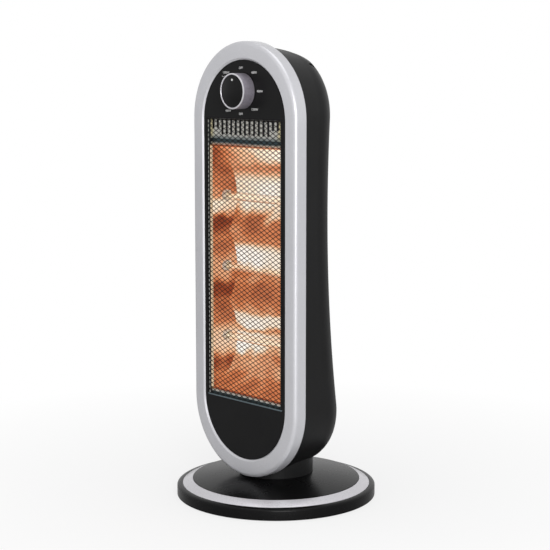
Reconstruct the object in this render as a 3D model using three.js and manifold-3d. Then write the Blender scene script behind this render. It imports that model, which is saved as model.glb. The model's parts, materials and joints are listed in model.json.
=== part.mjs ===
// A floor-standing halogen heater: a tall head with rounded ends, three lamps
// behind a diamond-mesh guard, a rotary switch above them, and a round weighted
// base on which the head swings from side to side.
// Millimetres, +Z up. The front faces -Y. The origin is on the floor, at the
// centre of the base, on the axis that the head swings about.

import * as THREE from 'three';
import { mergeVertices } from 'three/addons/utils/BufferGeometryUtils.js';
import ManifoldModule from 'manifold-3d';

const wasm = await ManifoldModule();
wasm.setup();

// ------------------------------------------------------------ driving sizes

// Clearances and common hardware
const seatGap = 0.3; // between pieces that seat on each other or run in each other
const screwRadius = 1.6;
const screwHeadRadius = 3.2;
const screwHeadHeight = 1.4;

// Base cover: straight skirt, rounded shoulder, sloping trim ring, low dome
const baseRadius = 130;
const baseSideHeight = 12.8;
const skirtLift = 1;
const baseWall = 2.5;
const shoulderWidth = 7.1;
const shoulderRise = 3.3;
const trimWidth = 13.7;
const trimRise = 6;
const trimThickness = 1.6;
const domeRise = 8.7;
const domeCrown = 0.6; // how far the dome bulges over a straight cone
const neckRadius = 48.6;

// Base floor, feet and fixings
const floorPlateLift = 2.2;
const floorPlateThickness = 2;
const footRadius = 9;
const footStemRadius = 3;
const footBarbHeight = 1.5;
const footEdgeDistance = 19.2; // from the floor plate's edge to the centre of a foot
const postRadius = 5;
const postEdgeDistance = 27.2; // from the floor plate's edge to the centre of a post
const baseScrewLength = 8;

// Turning joint between base and head
const washerRadius = 42;
const washerThickness = 1.5;
const spindleRadius = 10;
const spindleWall = 2.5;
const spindleFlangeRadius = 22;
const spindleFlangeThickness = 2.5;
const spindleReach = 26; // above the flange, into the head
const retainerWidth = 8;
const retainerThickness = 2;
const collarWall = 2.6;

// Swing drive: a motor crank whose pin runs in a slotted arm on the spindle
const swingAngle = 30; // to each side
const crankCentre = 36; // from the swing axis to the motor shaft
const crankThickness = 2.5;
const crankHubRadius = 7;
const crankPinRadius = 2.5;
const armThickness = 2.5;
const armWall = 3;
const motorRadius = 24.5;
const motorHeight = 11;
const motorBossRadius = 6;
const motorBossHeight = 1.8;
const motorShaftRadius = 3;
const motorShaftDepth = 3; // inside the can
const motorEarReach = 31;

// Ballast, terminal block and cord inlet in the base
const ballastPostGap = 3;
const ballastWidth = 28;
const ballastThickness = 8;
const ballastSpread = 200; // degrees, centred on the front
const terminalBlockSize = new THREE.Vector3(30, 14, 10);
const terminalBlockPlace = new THREE.Vector2(62, 44);
const terminalWays = 3;
const terminalWellRadius = 2.4;
const inletRadius = 4.6;
const inletBoreRadius = 3.5;
const inletHeight = 7;
const inletLength = 6;
const inletFlange = 0.8;

// Tip-over switch: a sprung plunger that the floor holds in
const tipSwitchSize = new THREE.Vector3(24, 14, 14);
const tipSwitchPlace = new THREE.Vector2(-56, 52);
const plungerRadius = 3;
const plungerHeadRadius = 4;
const plungerHeadHeight = 2;
const plungerTravel = 5;
const tipSpringWire = 0.6;
const tipSpringLength = 4.6;
const tipSpringTurns = 4;

// Head: front bezel with rounded ends
const headWidth = 193.3;
const headHeight = 556.3;
const headLift = 1.8; // between the base dome and the bezel
const bezelFront = -57.6;
const bezelDepth = 18.2;
const bezelBand = 20.35; // width along the sides
const bezelEndBand = 22.9; // width at the top and bottom
const bezelWall = 2.4;
const bezelCorner = 5;
const bezelLipChamfer = 2; // around the fascia
const bezelBossRadius = 4.4;

// Fascia: its middle stands proud of the edge that the bezel covers
const fasciaThickness = 2.5;
const fasciaOverlap = 3; // under the bezel
const fasciaRise = 1.1;
const windowSideMargin = 4.6; // fascia beside the window
const windowEndMargin = 74; // fascia above and below it
const windowCorner = 2.5;

// Guard: a flat diamond net set into the window, on the rails of a frame behind it
const guardBorder = 1.5;
const guardThickness = 1.2;
const guardWire = 1.7;
const guardColumns = 5;
const guardRows = 16;
const guardLedge = 5.1; // width of the rails seen through the net
const guardFlange = 4.5; // the frame's reach behind the fascia
const guardFrameDepth = 2;

// Reflector: slotted panel over three curved troughs
const sheetThickness = 1;
const slotPanelHeight = 31.6;
const reflectorLip = 7;
const reflectorSlope = 23.5;
const reflectorSlopeDepth = 30.5;
const troughCount = 3;
const troughDepth = 14;
const slotPitch = 8.63;
const slotWidth = 4;
const slotLength = 20.6;
const shortSlotLength = 13.5;
const shortSlotsPerSide = 2;
const slotSideMargin = 4; // least width of sheet beside the outer slots

// Lamps
const lampInset = 26; // from the reflector's front plane to the lamp axis
const lampTubeRadius = 5.5;
const lampTubeWall = 1.2;
const filamentRadius = 0.9;
const filamentRingRadius = 3.9;
const filamentRingCount = 5;
const lampCapRadius = 7.2;
const lampCapFlangeRadius = 9.5;
const lampCapFlange = 3;
const lampCapInside = 5; // inside the reflector's end plate
const lampCapOutside = 11; // outside it
const lampSocketDepth = 6;

// Heat shield behind the reflector, with a snap-in thermal cut-out
const shieldSideGap = 1.7; // beside the lamp holders
const shieldLip = 6;
const cutoutRadius = 8;
const cutoutHeight = 7;
const cutoutOffset = 34; // to the side
const cutoutDrop = 51.5; // below the top of the window

// Rear shell
const shellInset = 2.2;
const shellDraft = 4.85;
const shellWall = 2.5;
const shellCornerWidth = 52.3;
const shellCornerDepth = 43.7;
const waistHeight = 343.7; // above the bottom of the head
const waistDepth = 71.4;
const bottomSwell = 33.4; // how much deeper the shell is at its bottom end
const topSwell = 11.2; // how much deeper at its top end
const topRoll = 41.8; // how far the top end rolls forward again
const topRollHeight = 27.3;
const spindleHoleMargin = 4;
const shellPostRadius = 5.2;
const shellPostAngle = 50;
const shellPostInset = 11;
const shellScrewSeat = 9; // from the shell's front edge to the screw head
const shellScrewLength = 17;
const shieldPostRadius = 6;
const shieldPostOffset = 104; // above and below the middle of the window
const ventWidth = 84;
const ventHeight = 4.5;
const ventPitch = 12;
const upperVentCount = 5;
const lowerVentCount = 5;
const ventOffset = 152; // from the window's middle to the middle of each group
const gripWidth = 96;
const gripHeight = 26;
const gripDepth = 22;
const gripDrop = 66; // from the head's top to the middle of the grip

// Rotary switch and knob
const knobDrop = 61.7; // from the head's top to the knob's axis
const knobRadius = 22.2;
const knobHeight = 18.8;
const knobLift = 0.6;
const knobWall = 2;
const knobRim = 1.9;
const knobFaceDepth = 1.5;
const knobFaceThickness = 1.1;
const knobHubRadius = 6.5;
const switchShaftRadius = 3;
const switchBushRadius = 5;
const switchBushReach = 1.4; // in front of the fascia
const switchSize = 38;
const switchDepth = 16;
const switchShaftDepth = 8; // inside the switch body
const switchBladeCount = 6;

// Facets per full turn and per quarter turn of the rounded outlines
const wideFacets = 48;
const cavityFacets = wideFacets / 2; // inside the base cover, and the floor plate that fits it
const midFacets = 24;
const smallFacets = 10;
const knobFacets = 30;
const quarterFacets = 10;
const shellQuarterFacets = 10;
const shellSideFacets = 6;
const shellCornerFacets = 5;

// ------------------------------------------------------------ derived sizes

const trimOuterRadius = baseRadius - shoulderWidth;
const trimInnerRadius = trimOuterRadius - trimWidth;
const shoulderTop = baseSideHeight + shoulderRise;
const trimTop = shoulderTop + trimRise;
const domeTop = trimTop + domeRise;
const washerRecess = washerThickness + seatGap;
const domeUnderside = domeTop - washerRecess - baseWall;
const floorPlateTop = floorPlateLift + floorPlateThickness;
const floorPlateRadius = baseRadius - baseWall - seatGap;
const footCircle = floorPlateRadius - footEdgeDistance;
const postCircle = floorPlateRadius - postEdgeDistance;
const ballastOuterRadius = postCircle - postRadius - ballastPostGap;
const ballastInnerRadius = ballastOuterRadius - ballastWidth;
const deckHeight = floorPlateTop + seatGap; // what stands on the floor plate starts here

const retainerTop = domeUnderside - seatGap;
const retainerBottom = retainerTop - retainerThickness;
const armTop = retainerBottom - seatGap;
const armBottom = armTop - armThickness;
const crankTop = armBottom - seatGap;
const crankBottom = crankTop - crankThickness;
const crankRadius = crankCentre * Math.sin(THREE.MathUtils.degToRad(swingAngle));
const crankSweep = 90 + swingAngle; // crank travel for one side of the swing

const collarBottom = domeTop + seatGap;
const collarFloor = collarBottom + collarWall;
const spindleFlangeBottom = collarFloor + seatGap;
const spindleFlangeTop = spindleFlangeBottom + spindleFlangeThickness;

const headBottom = domeTop + headLift;
const headTop = headBottom + headHeight;
const headMiddle = (headBottom + headTop) / 2;
const bezelBack = bezelFront + bezelDepth;
const fasciaEdgeFront = bezelFront + bezelWall + seatGap;
const fasciaEdgeBack = fasciaEdgeFront + fasciaThickness;
const fasciaFront = fasciaEdgeFront - fasciaRise;
const fasciaBack = fasciaFront + fasciaThickness;
const windowWidth = headWidth - 2 * (bezelBand + windowSideMargin);
const windowHeight = headHeight - 2 * (bezelEndBand + windowEndMargin);
const windowTop = headMiddle + windowHeight / 2;
const windowBottom = headMiddle - windowHeight / 2;
const guardFront = fasciaFront + seatGap;
const guardBack = guardFront + guardThickness;
const railFront = guardBack + seatGap;
const railInner = windowWidth / 2 - seatGap - guardLedge;
const reflectorFront = fasciaBack + seatGap;
const reflectorWidth = 2 * (railInner - seatGap);
const guardFrameFront = reflectorFront + sheetThickness + seatGap;
const guardFrameBack = guardFrameFront + guardFrameDepth;
const slotCount = Math.floor((reflectorWidth - 2 * slotSideMargin) / slotPitch) + 1;
const troughEdge = reflectorFront + reflectorSlopeDepth;
const troughBottom = troughEdge + troughDepth;
const troughStart = windowBottom + reflectorLip + reflectorSlope;
const troughEnd = windowTop - slotPanelHeight - reflectorSlope;
const troughPitch = (troughEnd - troughStart) / troughCount;
const lampDepth = reflectorFront + lampInset;
const endPlateFront = guardFrameBack + seatGap;
const endPlateBack = troughBottom + sheetThickness + seatGap;
const endPlateInner = railInner;
const endPlateOuter = endPlateInner + sheetThickness;
const shieldHalf = endPlateOuter + lampCapOutside + shieldSideGap + sheetThickness;
const shieldFront = endPlateBack + seatGap;
const shieldBack = shieldFront + sheetThickness;
const shellFront = bezelBack + seatGap;
const knobMiddle = headTop - knobDrop;
const gripMiddle = headTop - gripDrop;

// ------------------------------------------------------------ solids

// A solid from a closed geometry: shared corners merged, faces turned outwards.
function solid(geometry) {
  const bare = new THREE.BufferGeometry();
  bare.setAttribute('position', geometry.getAttribute('position'));
  if (geometry.index) bare.setIndex(geometry.index);
  const merged = mergeVertices(bare, 1e-4);
  const index = merged.index.array;
  const corner = [new THREE.Vector3(), new THREE.Vector3(), new THREE.Vector3()];
  const triangles = [];
  let volume = 0;
  for (let i = 0; i < index.length; i += 3) {
    const [a, b, c] = [index[i], index[i + 1], index[i + 2]];
    if (a === b || b === c || c === a) continue;
    triangles.push(a, b, c);
    [a, b, c].forEach((at, k) => corner[k].fromBufferAttribute(merged.attributes.position, at));
    volume += corner[0].dot(corner[1].cross(corner[2]));
  }
  if (volume < 0) triangles.reverse();
  return new wasm.Manifold(new wasm.Mesh({
    numProp: 3,
    vertProperties: new Float32Array(merged.attributes.position.array),
    triVerts: new Uint32Array(triangles),
  }));
}

// The three.js geometry of a solid.
function geometryOf(shape) {
  const mesh = shape.getMesh();
  const geometry = new THREE.BufferGeometry();
  geometry.setAttribute('position', new THREE.BufferAttribute(mesh.vertProperties, 3));
  geometry.setIndex(new THREE.BufferAttribute(mesh.triVerts, 1));
  geometry.computeVertexNormals();
  return geometry;
}

const point = (x, y) => new THREE.Vector2(x, y);

// A solid turned about Z from a profile of [radius, height] points.
function turned(profile, facets = midFacets) {
  const first = profile[0];
  const last = profile[profile.length - 1];
  const onAxis = first[0] === 0 && last[0] === 0;
  const outline = (onAxis ? profile : [...profile, first]).map(([r, z]) => point(r, z));
  return solid(new THREE.LatheGeometry(outline, facets).rotateX(Math.PI / 2));
}

function cylinder(radius, low, high, facets = midFacets) {
  return turned([[0, low], [radius, low], [radius, high], [0, high]], facets);
}

// Radius of the faceted circle whose flats lie at the given radius, for holes
// that must clear the round piece inside them.
const aroundFlats = (radius, facets) => radius / Math.cos(Math.PI / facets);

// A drill's cut: a cylinder whose flats clear the radius.
function drill(radius, low, high, facets = smallFacets) {
  return cylinder(aroundFlats(radius, facets), low, high, facets);
}

function tube(outer, inner, low, high, facets = midFacets) {
  return turned([[inner, low], [outer, low], [outer, high], [inner, high]], facets);
}

// Turned about Z, then laid along Y with its top towards the front.
const layForward = (shape) => shape.rotate([90, 0, 0]);
// Turned about Z, then laid along X.
const layAcross = (shape) => shape.rotate([0, 90, 0]);

// A flat shape (X, Y) raised along Z between two heights. Each arc of the shape
// gets the given even number of facets; three.js splits arcs twice as finely as
// its curveSegments says.
function raised(shape, low, high, arcFacets = smallFacets) {
  const options = { depth: high - low, bevelEnabled: false, curveSegments: arcFacets / 2 };
  return solid(new THREE.ExtrudeGeometry(shape, options).translate(0, 0, low));
}

// A flat shape (X, Z) as an upright plate between a front and a back plane.
function upright(shape, front, back, arcFacets = smallFacets) {
  return layForward(raised(shape, -back, -front, arcFacets));
}

// A profile (Y, Z) drawn across the head, centred on X.
function across(shape, width, arcFacets = smallFacets) {
  const options = { depth: width, bevelEnabled: false, curveSegments: arcFacets / 2 };
  const geometry = new THREE.ExtrudeGeometry(shape, options).translate(0, 0, -width / 2);
  const turn = new THREE.Matrix4().makeBasis(
    new THREE.Vector3(0, 1, 0), new THREE.Vector3(0, 0, 1), new THREE.Vector3(1, 0, 0));
  return solid(geometry.applyMatrix4(turn));
}

function block(low, high) {
  const size = new THREE.Vector3().subVectors(high, low);
  const middle = new THREE.Vector3().addVectors(low, high).multiplyScalar(0.5);
  const box = new THREE.BoxGeometry(size.x, size.y, size.z);
  return solid(box.translate(middle.x, middle.y, middle.z));
}

const spot = (x, y, z) => new THREE.Vector3(x, y, z);

// Rings of equally many points joined into one skin: either a closed loop of
// rings, or a stack whose two end rings are closed by strips from side to side.
function skinned(rings, closedLoop) {
  const count = rings[0].length;
  const half = count / 2;
  const index = [];
  const quad = (a, b, c, d) => index.push(a, b, c, a, c, d);
  const bands = closedLoop ? rings.length : rings.length - 1;
  for (let i = 0; i < bands; i++) {
    const near = i * count;
    const far = ((i + 1) % rings.length) * count;
    for (let j = 0; j < count; j++) {
      const next = (j + 1) % count;
      quad(near + j, near + next, far + next, far + j);
    }
  }
  if (!closedLoop) {
    const last = (rings.length - 1) * count;
    for (let j = 0; j < half; j++) {
      const mirror = (count - j) % count;
      const mirrorNext = count - j - 1;
      quad(j, mirror, mirrorNext, j + 1);
      quad(last + j, last + j + 1, last + mirrorNext, last + mirror);
    }
  }
  const geometry = new THREE.BufferGeometry();
  geometry.setFromPoints(rings.flat());
  geometry.setIndex(index);
  return solid(geometry);
}

// ------------------------------------------------------------ flat outlines

// An upright slot outline with half-round ends, centred on the origin.
function stadium(halfWidth, halfHeight) {
  const straight = halfHeight - halfWidth;
  const shape = new THREE.Shape();
  shape.absarc(0, straight, halfWidth, 0, Math.PI, false);
  shape.absarc(0, -straight, halfWidth, Math.PI, 2 * Math.PI, false);
  return shape;
}

// The same outline lying down.
function lyingStadium(halfWidth, halfHeight) {
  const straight = halfWidth - halfHeight;
  const shape = new THREE.Shape();
  shape.absarc(straight, 0, halfHeight, -Math.PI / 2, Math.PI / 2, false);
  shape.absarc(-straight, 0, halfHeight, Math.PI / 2, 1.5 * Math.PI, false);
  return shape;
}

function roundedRectangle(width, height, radius) {
  const [x, y] = [width / 2 - radius, height / 2 - radius];
  const shape = new THREE.Shape();
  shape.absarc(x, y, radius, 0, Math.PI / 2, false);
  shape.absarc(-x, y, radius, Math.PI / 2, Math.PI, false);
  shape.absarc(-x, -y, radius, Math.PI, 1.5 * Math.PI, false);
  shape.absarc(x, -y, radius, 1.5 * Math.PI, 2 * Math.PI, false);
  return shape;
}

function roundHole(x, y, radius, facets = smallFacets) {
  const reach = aroundFlats(radius, facets);
  return new THREE.Path(Array.from({ length: facets }, (_, i) => {
    const angle = -2 * Math.PI * i / facets;
    return point(x + reach * Math.cos(angle), y + reach * Math.sin(angle));
  }));
}

// A ring of points with half-round ends around the head's middle, mirrored left
// to right: up the right side from bottom to top, then down the left side.
// Each point's depth comes from depthAt(height).
function headRing(halfWidth, halfHeight, depthAt, quarter, side) {
  const straight = halfHeight - halfWidth;
  const right = [];
  for (let i = 0; i <= quarter; i++) {
    const angle = (i / quarter - 1) * Math.PI / 2;
    right.push([halfWidth * Math.cos(angle), -straight + halfWidth * Math.sin(angle)]);
  }
  for (let i = 1; i < side; i++) right.push([halfWidth, straight * (2 * i / side - 1)]);
  for (let i = 0; i <= quarter; i++) {
    const angle = i / quarter * Math.PI / 2;
    right.push([halfWidth * Math.cos(angle), straight + halfWidth * Math.sin(angle)]);
  }
  right[0][0] = 0;
  right[right.length - 1][0] = 0;
  const left = right.slice(1, -1).reverse().map(([x, z]) => [-x, z]);
  return [...right, ...left].map(([x, z]) => spot(x, depthAt(headMiddle + z), headMiddle + z));
}

// ------------------------------------------------------------ front of the head

// Half width and half height of the bezel's outline, moved in by an inset that
// grows to the wider band at the ends.
function bezelOutline(inset) {
  const endInset = inset * bezelEndBand / bezelBand;
  return [headWidth / 2 - inset, headHeight / 2 - endInset];
}

// Places of the four long screws that hold the shell to the bezel.
function shellScrewPlaces() {
  const angle = THREE.MathUtils.degToRad(shellPostAngle);
  const reach = headWidth / 2 - shellPostInset;
  const x = reach * Math.cos(angle);
  const z = headHeight / 2 - headWidth / 2 + reach * Math.sin(angle);
  return [[x, z], [-x, z], [x, -z], [-x, -z]].map(([px, pz]) => [px, headMiddle + pz]);
}

// The bezel is a channel: a soft outer corner, a flat face, and a chamfered lip around
// the fascia.
function frontBezel() {
  const section = [[bezelWall, bezelDepth], [0, bezelDepth]];
  const cornerSteps = 3;
  for (let i = 0; i <= cornerSteps; i++) {
    const angle = i / cornerSteps * Math.PI / 2;
    section.push([bezelCorner * (1 - Math.cos(angle)), bezelCorner * (1 - Math.sin(angle))]);
  }
  section.push([bezelBand - bezelLipChamfer, 0], [bezelBand, bezelLipChamfer]);
  section.push([bezelBand, bezelWall], [bezelWall, bezelWall]);
  const rings = section.map(([inset, depth]) => headRing(
    ...bezelOutline(inset), () => bezelFront + depth, quarterFacets, 1));
  let bezel = skinned(rings, true);
  for (const [x, z] of shellScrewPlaces()) {
    const boss = cylinder(bezelBossRadius, -bezelBack, -bezelFront - bezelWall / 2, smallFacets);
    const pilot = drill(screwRadius + seatGap, -bezelBack - 1, -bezelFront - bezelWall, 8);
    bezel = bezel.add(layForward(boss).translate([x, 0, z]));
    bezel = bezel.subtract(layForward(pilot).translate([x, 0, z]));
  }
  return bezel;
}

// The fascia: a black panel of even wall, stepped forward inside the bezel, with the
// lamp window and the switch hole.
function frontFascia() {
  const [halfWidth, halfHeight] = bezelOutline(bezelBand);
  const plate = (grow, front, back) => upright(
    stadium(halfWidth + grow, halfHeight + grow), front, back, 2 * quarterFacets);
  const opening = roundedRectangle(windowWidth, windowHeight, windowCorner);
  const panel = plate(fasciaOverlap, fasciaEdgeFront, fasciaEdgeBack)
    .add(plate(-seatGap, fasciaFront, fasciaEdgeBack))
    .subtract(plate(-seatGap - fasciaThickness, fasciaBack, fasciaEdgeBack + 1))
    .subtract(upright(opening, fasciaFront - 1, fasciaEdgeBack + 1, 4));
  const hole = layForward(drill(switchBushRadius + seatGap, -fasciaBack - 1, -fasciaFront + 1, 16));
  return panel.translate([0, 0, headMiddle]).subtract(hole.translate([0, 0, knobMiddle]));
}

// The guard: a diamond net of equal openings with a plain border, one flat sheet.
// Even rows hold whole diamonds; odd rows are shifted half a cell, so that their
// outer diamonds are halved by the border, as are those of the first and last row.
function guardMesh() {
  const [width, height] = [windowWidth - 2 * seatGap, windowHeight - 2 * seatGap];
  const [netWidth, netHeight] = [width - 2 * guardBorder, height - 2 * guardBorder];
  const cellWidth = netWidth / guardColumns;
  const cellHeight = netHeight / guardRows;
  const diagonal = Math.hypot(cellWidth, cellHeight) / 2;
  const opening = 1 - guardWire / 2 * diagonal / (cellWidth / 2 * cellHeight / 2);
  const reachX = opening * cellWidth / 2;
  const reachZ = opening * cellHeight / 2;
  const sheet = roundedRectangle(width, height, windowCorner);
  const openings = [];
  for (let row = 0; row <= 2 * guardRows; row++) {
    const z = -netHeight / 2 + row * cellHeight / 2;
    const shifted = row % 2 === 1;
    for (let column = 0; column < guardColumns + (shifted ? 1 : 0); column++) {
      const x = -netWidth / 2 + (column + (shifted ? 0 : 0.5)) * cellWidth;
      const corners = [];
      if (!shifted || column < guardColumns) corners.push([x + reachX, z]);
      if (row < 2 * guardRows) corners.push([x, z + reachZ]);
      if (!shifted || column > 0) corners.push([x - reachX, z]);
      if (row > 0) corners.push([x, z - reachZ]);
      const diamond = new THREE.Shape(corners.map(([px, pz]) => point(px, pz)));
      openings.push(upright(diamond, guardFront - 1, guardBack + 1));
    }
  }
  const net = wasm.Manifold.difference([upright(sheet, guardFront, guardBack, 4), ...openings]);
  return net.translate([0, 0, headMiddle]);
}

// The frame behind the fascia, with a rail on each side that comes forward into the
// window and carries the net.
function guardFrame() {
  const [width, height] = [windowWidth + 2 * guardFlange, windowHeight + 2 * guardFlange];
  const opening = block(spot(-railInner, railFront - 1, -windowHeight / 2),
    spot(railInner, guardFrameBack + 1, windowHeight / 2));
  const rails = roundedRectangle(windowWidth - 2 * seatGap, windowHeight - 2 * seatGap, windowCorner);
  return upright(roundedRectangle(width, height, windowCorner), guardFrameFront, guardFrameBack, 4)
    .add(upright(rails, railFront, guardFrameBack, 4))
    .subtract(opening)
    .translate([0, 0, headMiddle]);
}

// ------------------------------------------------------------ reflector and lamps

const lampHeights = Array.from({ length: troughCount },
  (_, i) => troughStart + (troughCount - i - 0.5) * troughPitch);

// The reflector's line from bottom to top as [depth, height]: lip, slope, one curved
// trough per lamp, slope, slotted panel.
function reflectorLine() {
  const line = [[reflectorFront, windowBottom - guardFlange],
    [reflectorFront, windowBottom + reflectorLip]];
  const steps = 10;
  for (let trough = 0; trough < troughCount; trough++) {
    for (let i = trough ? 1 : 0; i <= steps; i++) {
      const across = 2 * i / steps - 1;
      const depth = troughEdge + troughDepth * (1 - across * across);
      line.push([depth, troughStart + (trough + i / steps) * troughPitch]);
    }
  }
  line.push([reflectorFront, windowTop - slotPanelHeight], [reflectorFront, windowTop + guardFlange]);
  return line;
}

function reflector() {
  const line = reflectorLine();
  const back = line.map(([y, z]) => [y + sheetThickness, z]).reverse();
  const profile = new THREE.Shape([...line, ...back].map(([y, z]) => point(y, z)));
  let sheet = across(profile, reflectorWidth);
  for (let i = 0; i < slotCount; i++) {
    const x = (i - (slotCount - 1) / 2) * slotPitch;
    const outer = Math.min(i, slotCount - 1 - i) < shortSlotsPerSide;
    const low = spot(x - slotWidth / 2, reflectorFront - 1,
      windowTop - (outer ? shortSlotLength : slotLength));
    const high = spot(x + slotWidth / 2, reflectorFront + sheetThickness + 1, windowTop);
    sheet = sheet.subtract(block(low, high));
  }
  return sheet;
}

// The plates that close the troughs at each end and carry the lamp holders.
function reflectorEnd() {
  const plate = new THREE.Shape([
    point(endPlateFront, windowBottom - guardFlange),
    point(endPlateBack, windowBottom + reflectorLip),
    point(endPlateBack, troughEnd + reflectorSlope),
    point(endPlateFront, windowTop + guardFlange),
  ]);
  for (const height of lampHeights) {
    plate.holes.push(roundHole(lampDepth, height, lampCapRadius + seatGap));
  }
  return across(plate, sheetThickness);
}

const lampSocketFloor = endPlateInner - lampCapInside + lampSocketDepth;
const lampHalfLength = lampSocketFloor - seatGap;

function lampTube() {
  const inner = lampTubeRadius - lampTubeWall;
  return layAcross(tube(lampTubeRadius, inner, -lampHalfLength, lampHalfLength, smallFacets));
}

// The filament's coil is drawn as its core, with the wire rings that centre it.
function filament() {
  const ringHalf = 0.4;
  const profile = [[0, -lampHalfLength], [filamentRadius, -lampHalfLength]];
  for (let i = 0; i < filamentRingCount; i++) {
    const x = ((i + 0.5) / filamentRingCount * 2 - 1) * lampHalfLength;
    profile.push([filamentRadius, x - ringHalf], [filamentRingRadius, x - ringHalf]);
    profile.push([filamentRingRadius, x + ringHalf], [filamentRadius, x + ringHalf]);
  }
  profile.push([filamentRadius, lampHalfLength], [0, lampHalfLength]);
  return layAcross(turned(profile, 6));
}

// A ceramic holder: spigot through the end plate, socket for the tube, flange outside.
function lampCap() {
  const inner = endPlateInner - lampCapInside;
  const flange = endPlateOuter + seatGap;
  const outer = endPlateOuter + lampCapOutside;
  return layAcross(turned([
    [0, lampSocketFloor], [lampTubeRadius + seatGap, lampSocketFloor],
    [lampTubeRadius + seatGap, inner], [lampCapRadius, inner], [lampCapRadius, flange],
    [lampCapFlangeRadius, flange], [lampCapFlangeRadius, flange + lampCapFlange],
    [lampCapRadius, flange + lampCapFlange], [lampCapRadius, outer], [0, outer],
  ], smallFacets));
}

// A folded sheet channel behind the reflector, with its edges turned in at the front.
function heatShield() {
  const half = shieldHalf;
  const lip = half - shieldLip;
  const front = endPlateFront;
  const channel = new THREE.Shape([
    point(-lip, front), point(-half, front), point(-half, shieldBack), point(half, shieldBack),
    point(half, front), point(lip, front), point(lip, front + sheetThickness),
    point(half - sheetThickness, front + sheetThickness), point(half - sheetThickness, shieldFront),
    point(-half + sheetThickness, shieldFront), point(-half + sheetThickness, front + sheetThickness),
    point(-lip, front + sheetThickness),
  ]);
  return raised(channel, windowBottom, windowTop);
}

function thermalCutout() {
  const flange = 1;
  const body = turned([[0, 0], [cutoutRadius, 0], [cutoutRadius, flange], [cutoutRadius - 1.5, flange],
    [cutoutRadius - 1.5, cutoutHeight], [0, cutoutHeight]], smallFacets);
  const blade = block(spot(-5.5, -2, cutoutHeight - 1), spot(-4.7, 2, cutoutHeight + 6));
  return body.add(blade).add(blade.rotate([0, 0, 180])).rotate([-90, 0, 0]);
}

// ------------------------------------------------------------ rear shell

// Depth of the shell behind its front edge, at a height over the floor.
function shellDepth(height) {
  const fromWaist = height - (headBottom + waistHeight);
  if (fromWaist < 0) return waistDepth + bottomSwell * (fromWaist / waistHeight) ** 2;
  const swell = topSwell * (fromWaist / (headHeight - waistHeight)) ** 2;
  const roll = Math.max(0, (height - (headTop - topRollHeight)) / topRollHeight);
  return waistDepth + swell - topRoll * roll ** 2;
}

// The shell's outer form, or the form inside or outside it by an offset:
// drafted flanks, then a rounded edge into a back that follows the waist curve.
function shellForm(offset, front, quarter = shellQuarterFacets, corner = shellCornerFacets) {
  const half = [headWidth / 2 + offset, headHeight / 2 + offset];
  const rings = [];
  const addRing = (inset, depthAt) => rings.push(headRing(half[0] - inset, half[1] - inset,
    depthAt, quarter, shellSideFacets));
  addRing(shellInset, () => front);
  for (const share of front < shellFront ? [0, 1] : [1]) {
    addRing(shellInset + shellDraft * share,
      (height) => shellFront + (shellDepth(height) - shellCornerDepth) * share);
  }
  for (let i = 1; i <= corner; i++) {
    const angle = i / corner * Math.PI / 2;
    const inset = shellInset + shellDraft + (shellCornerWidth + offset) * (1 - Math.cos(angle));
    addRing(inset, (height) => shellFront + shellDepth(height) - shellCornerDepth
      + (shellCornerDepth + offset) * Math.sin(angle));
  }
  return skinned(rings, false);
}

// Rows of air slots through the back, each group centred on a height.
function ventSlots() {
  const slots = [];
  const farBehind = shellFront + 2 * (waistDepth + bottomSwell);
  for (const [count, side] of [[upperVentCount, 1], [lowerVentCount, -1]]) {
    for (let i = 0; i < count; i++) {
      const height = headMiddle + side * ventOffset + (i - (count - 1) / 2) * ventPitch;
      const slot = upright(lyingStadium(ventWidth / 2, ventHeight / 2), shieldBack + 2, farBehind, 4);
      slots.push(slot.translate([0, 0, height]));
    }
  }
  return slots;
}

function rearShell() {
  const outer = shellForm(0, shellFront);
  const farBehind = shellFront + 2 * (waistDepth + bottomSwell);
  let shell = outer.subtract(shellForm(-shellWall, shellFront - 1, 7, 4));
  for (const vent of ventSlots()) shell = shell.subtract(vent);

  // Posts that stand on the back wall and carry the heat shield
  for (const side of [1, -1]) {
    const post = layForward(cylinder(shieldPostRadius, -farBehind, -shieldBack - seatGap, smallFacets));
    shell = shell.add(post.translate([0, 0, headMiddle + side * shieldPostOffset]).intersect(outer));
  }

  // Grip pocket at the top of the back
  const gripFloor = shellFront + shellDepth(gripMiddle) - gripDepth;
  const pocket = (grow) => upright(lyingStadium(gripWidth / 2 + grow, gripHeight / 2 + grow),
    gripFloor - grow, farBehind, 8).translate([0, 0, gripMiddle]);
  shell = shell.add(pocket(shellWall).intersect(outer)).subtract(pocket(0));

  // Posts with deep wells for the four long screws
  for (const [x, z] of shellScrewPlaces()) {
    const seat = shellFront + shellScrewSeat;
    const post = layForward(cylinder(shellPostRadius, -farBehind, -shellFront, smallFacets));
    const well = layForward(drill(screwHeadRadius + seatGap, -farBehind, -seat));
    const hole = layForward(drill(screwRadius + seatGap, -seat - 1, -shellFront + 1, 8));
    shell = shell.add(post.translate([x, 0, z]).intersect(outer));
    shell = shell.subtract(well.translate([x, 0, z])).subtract(hole.translate([x, 0, z]));
  }

  // Hole under the head for the spindle's flange
  const throat = spindleFlangeRadius + spindleHoleMargin;
  return shell.subtract(drill(throat, headBottom - 1, headBottom + throat, midFacets));
}

// A pan-head screw along -Z from its seat at the origin.
function screw(length) {
  return turned([[0, -length], [screwRadius * 0.5, -length], [screwRadius, 1 - length],
    [screwRadius, 0], [screwHeadRadius, 0], [screwHeadRadius * 0.7, screwHeadHeight],
    [0, screwHeadHeight]], 8);
}

// ------------------------------------------------------------ switch and knob

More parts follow.
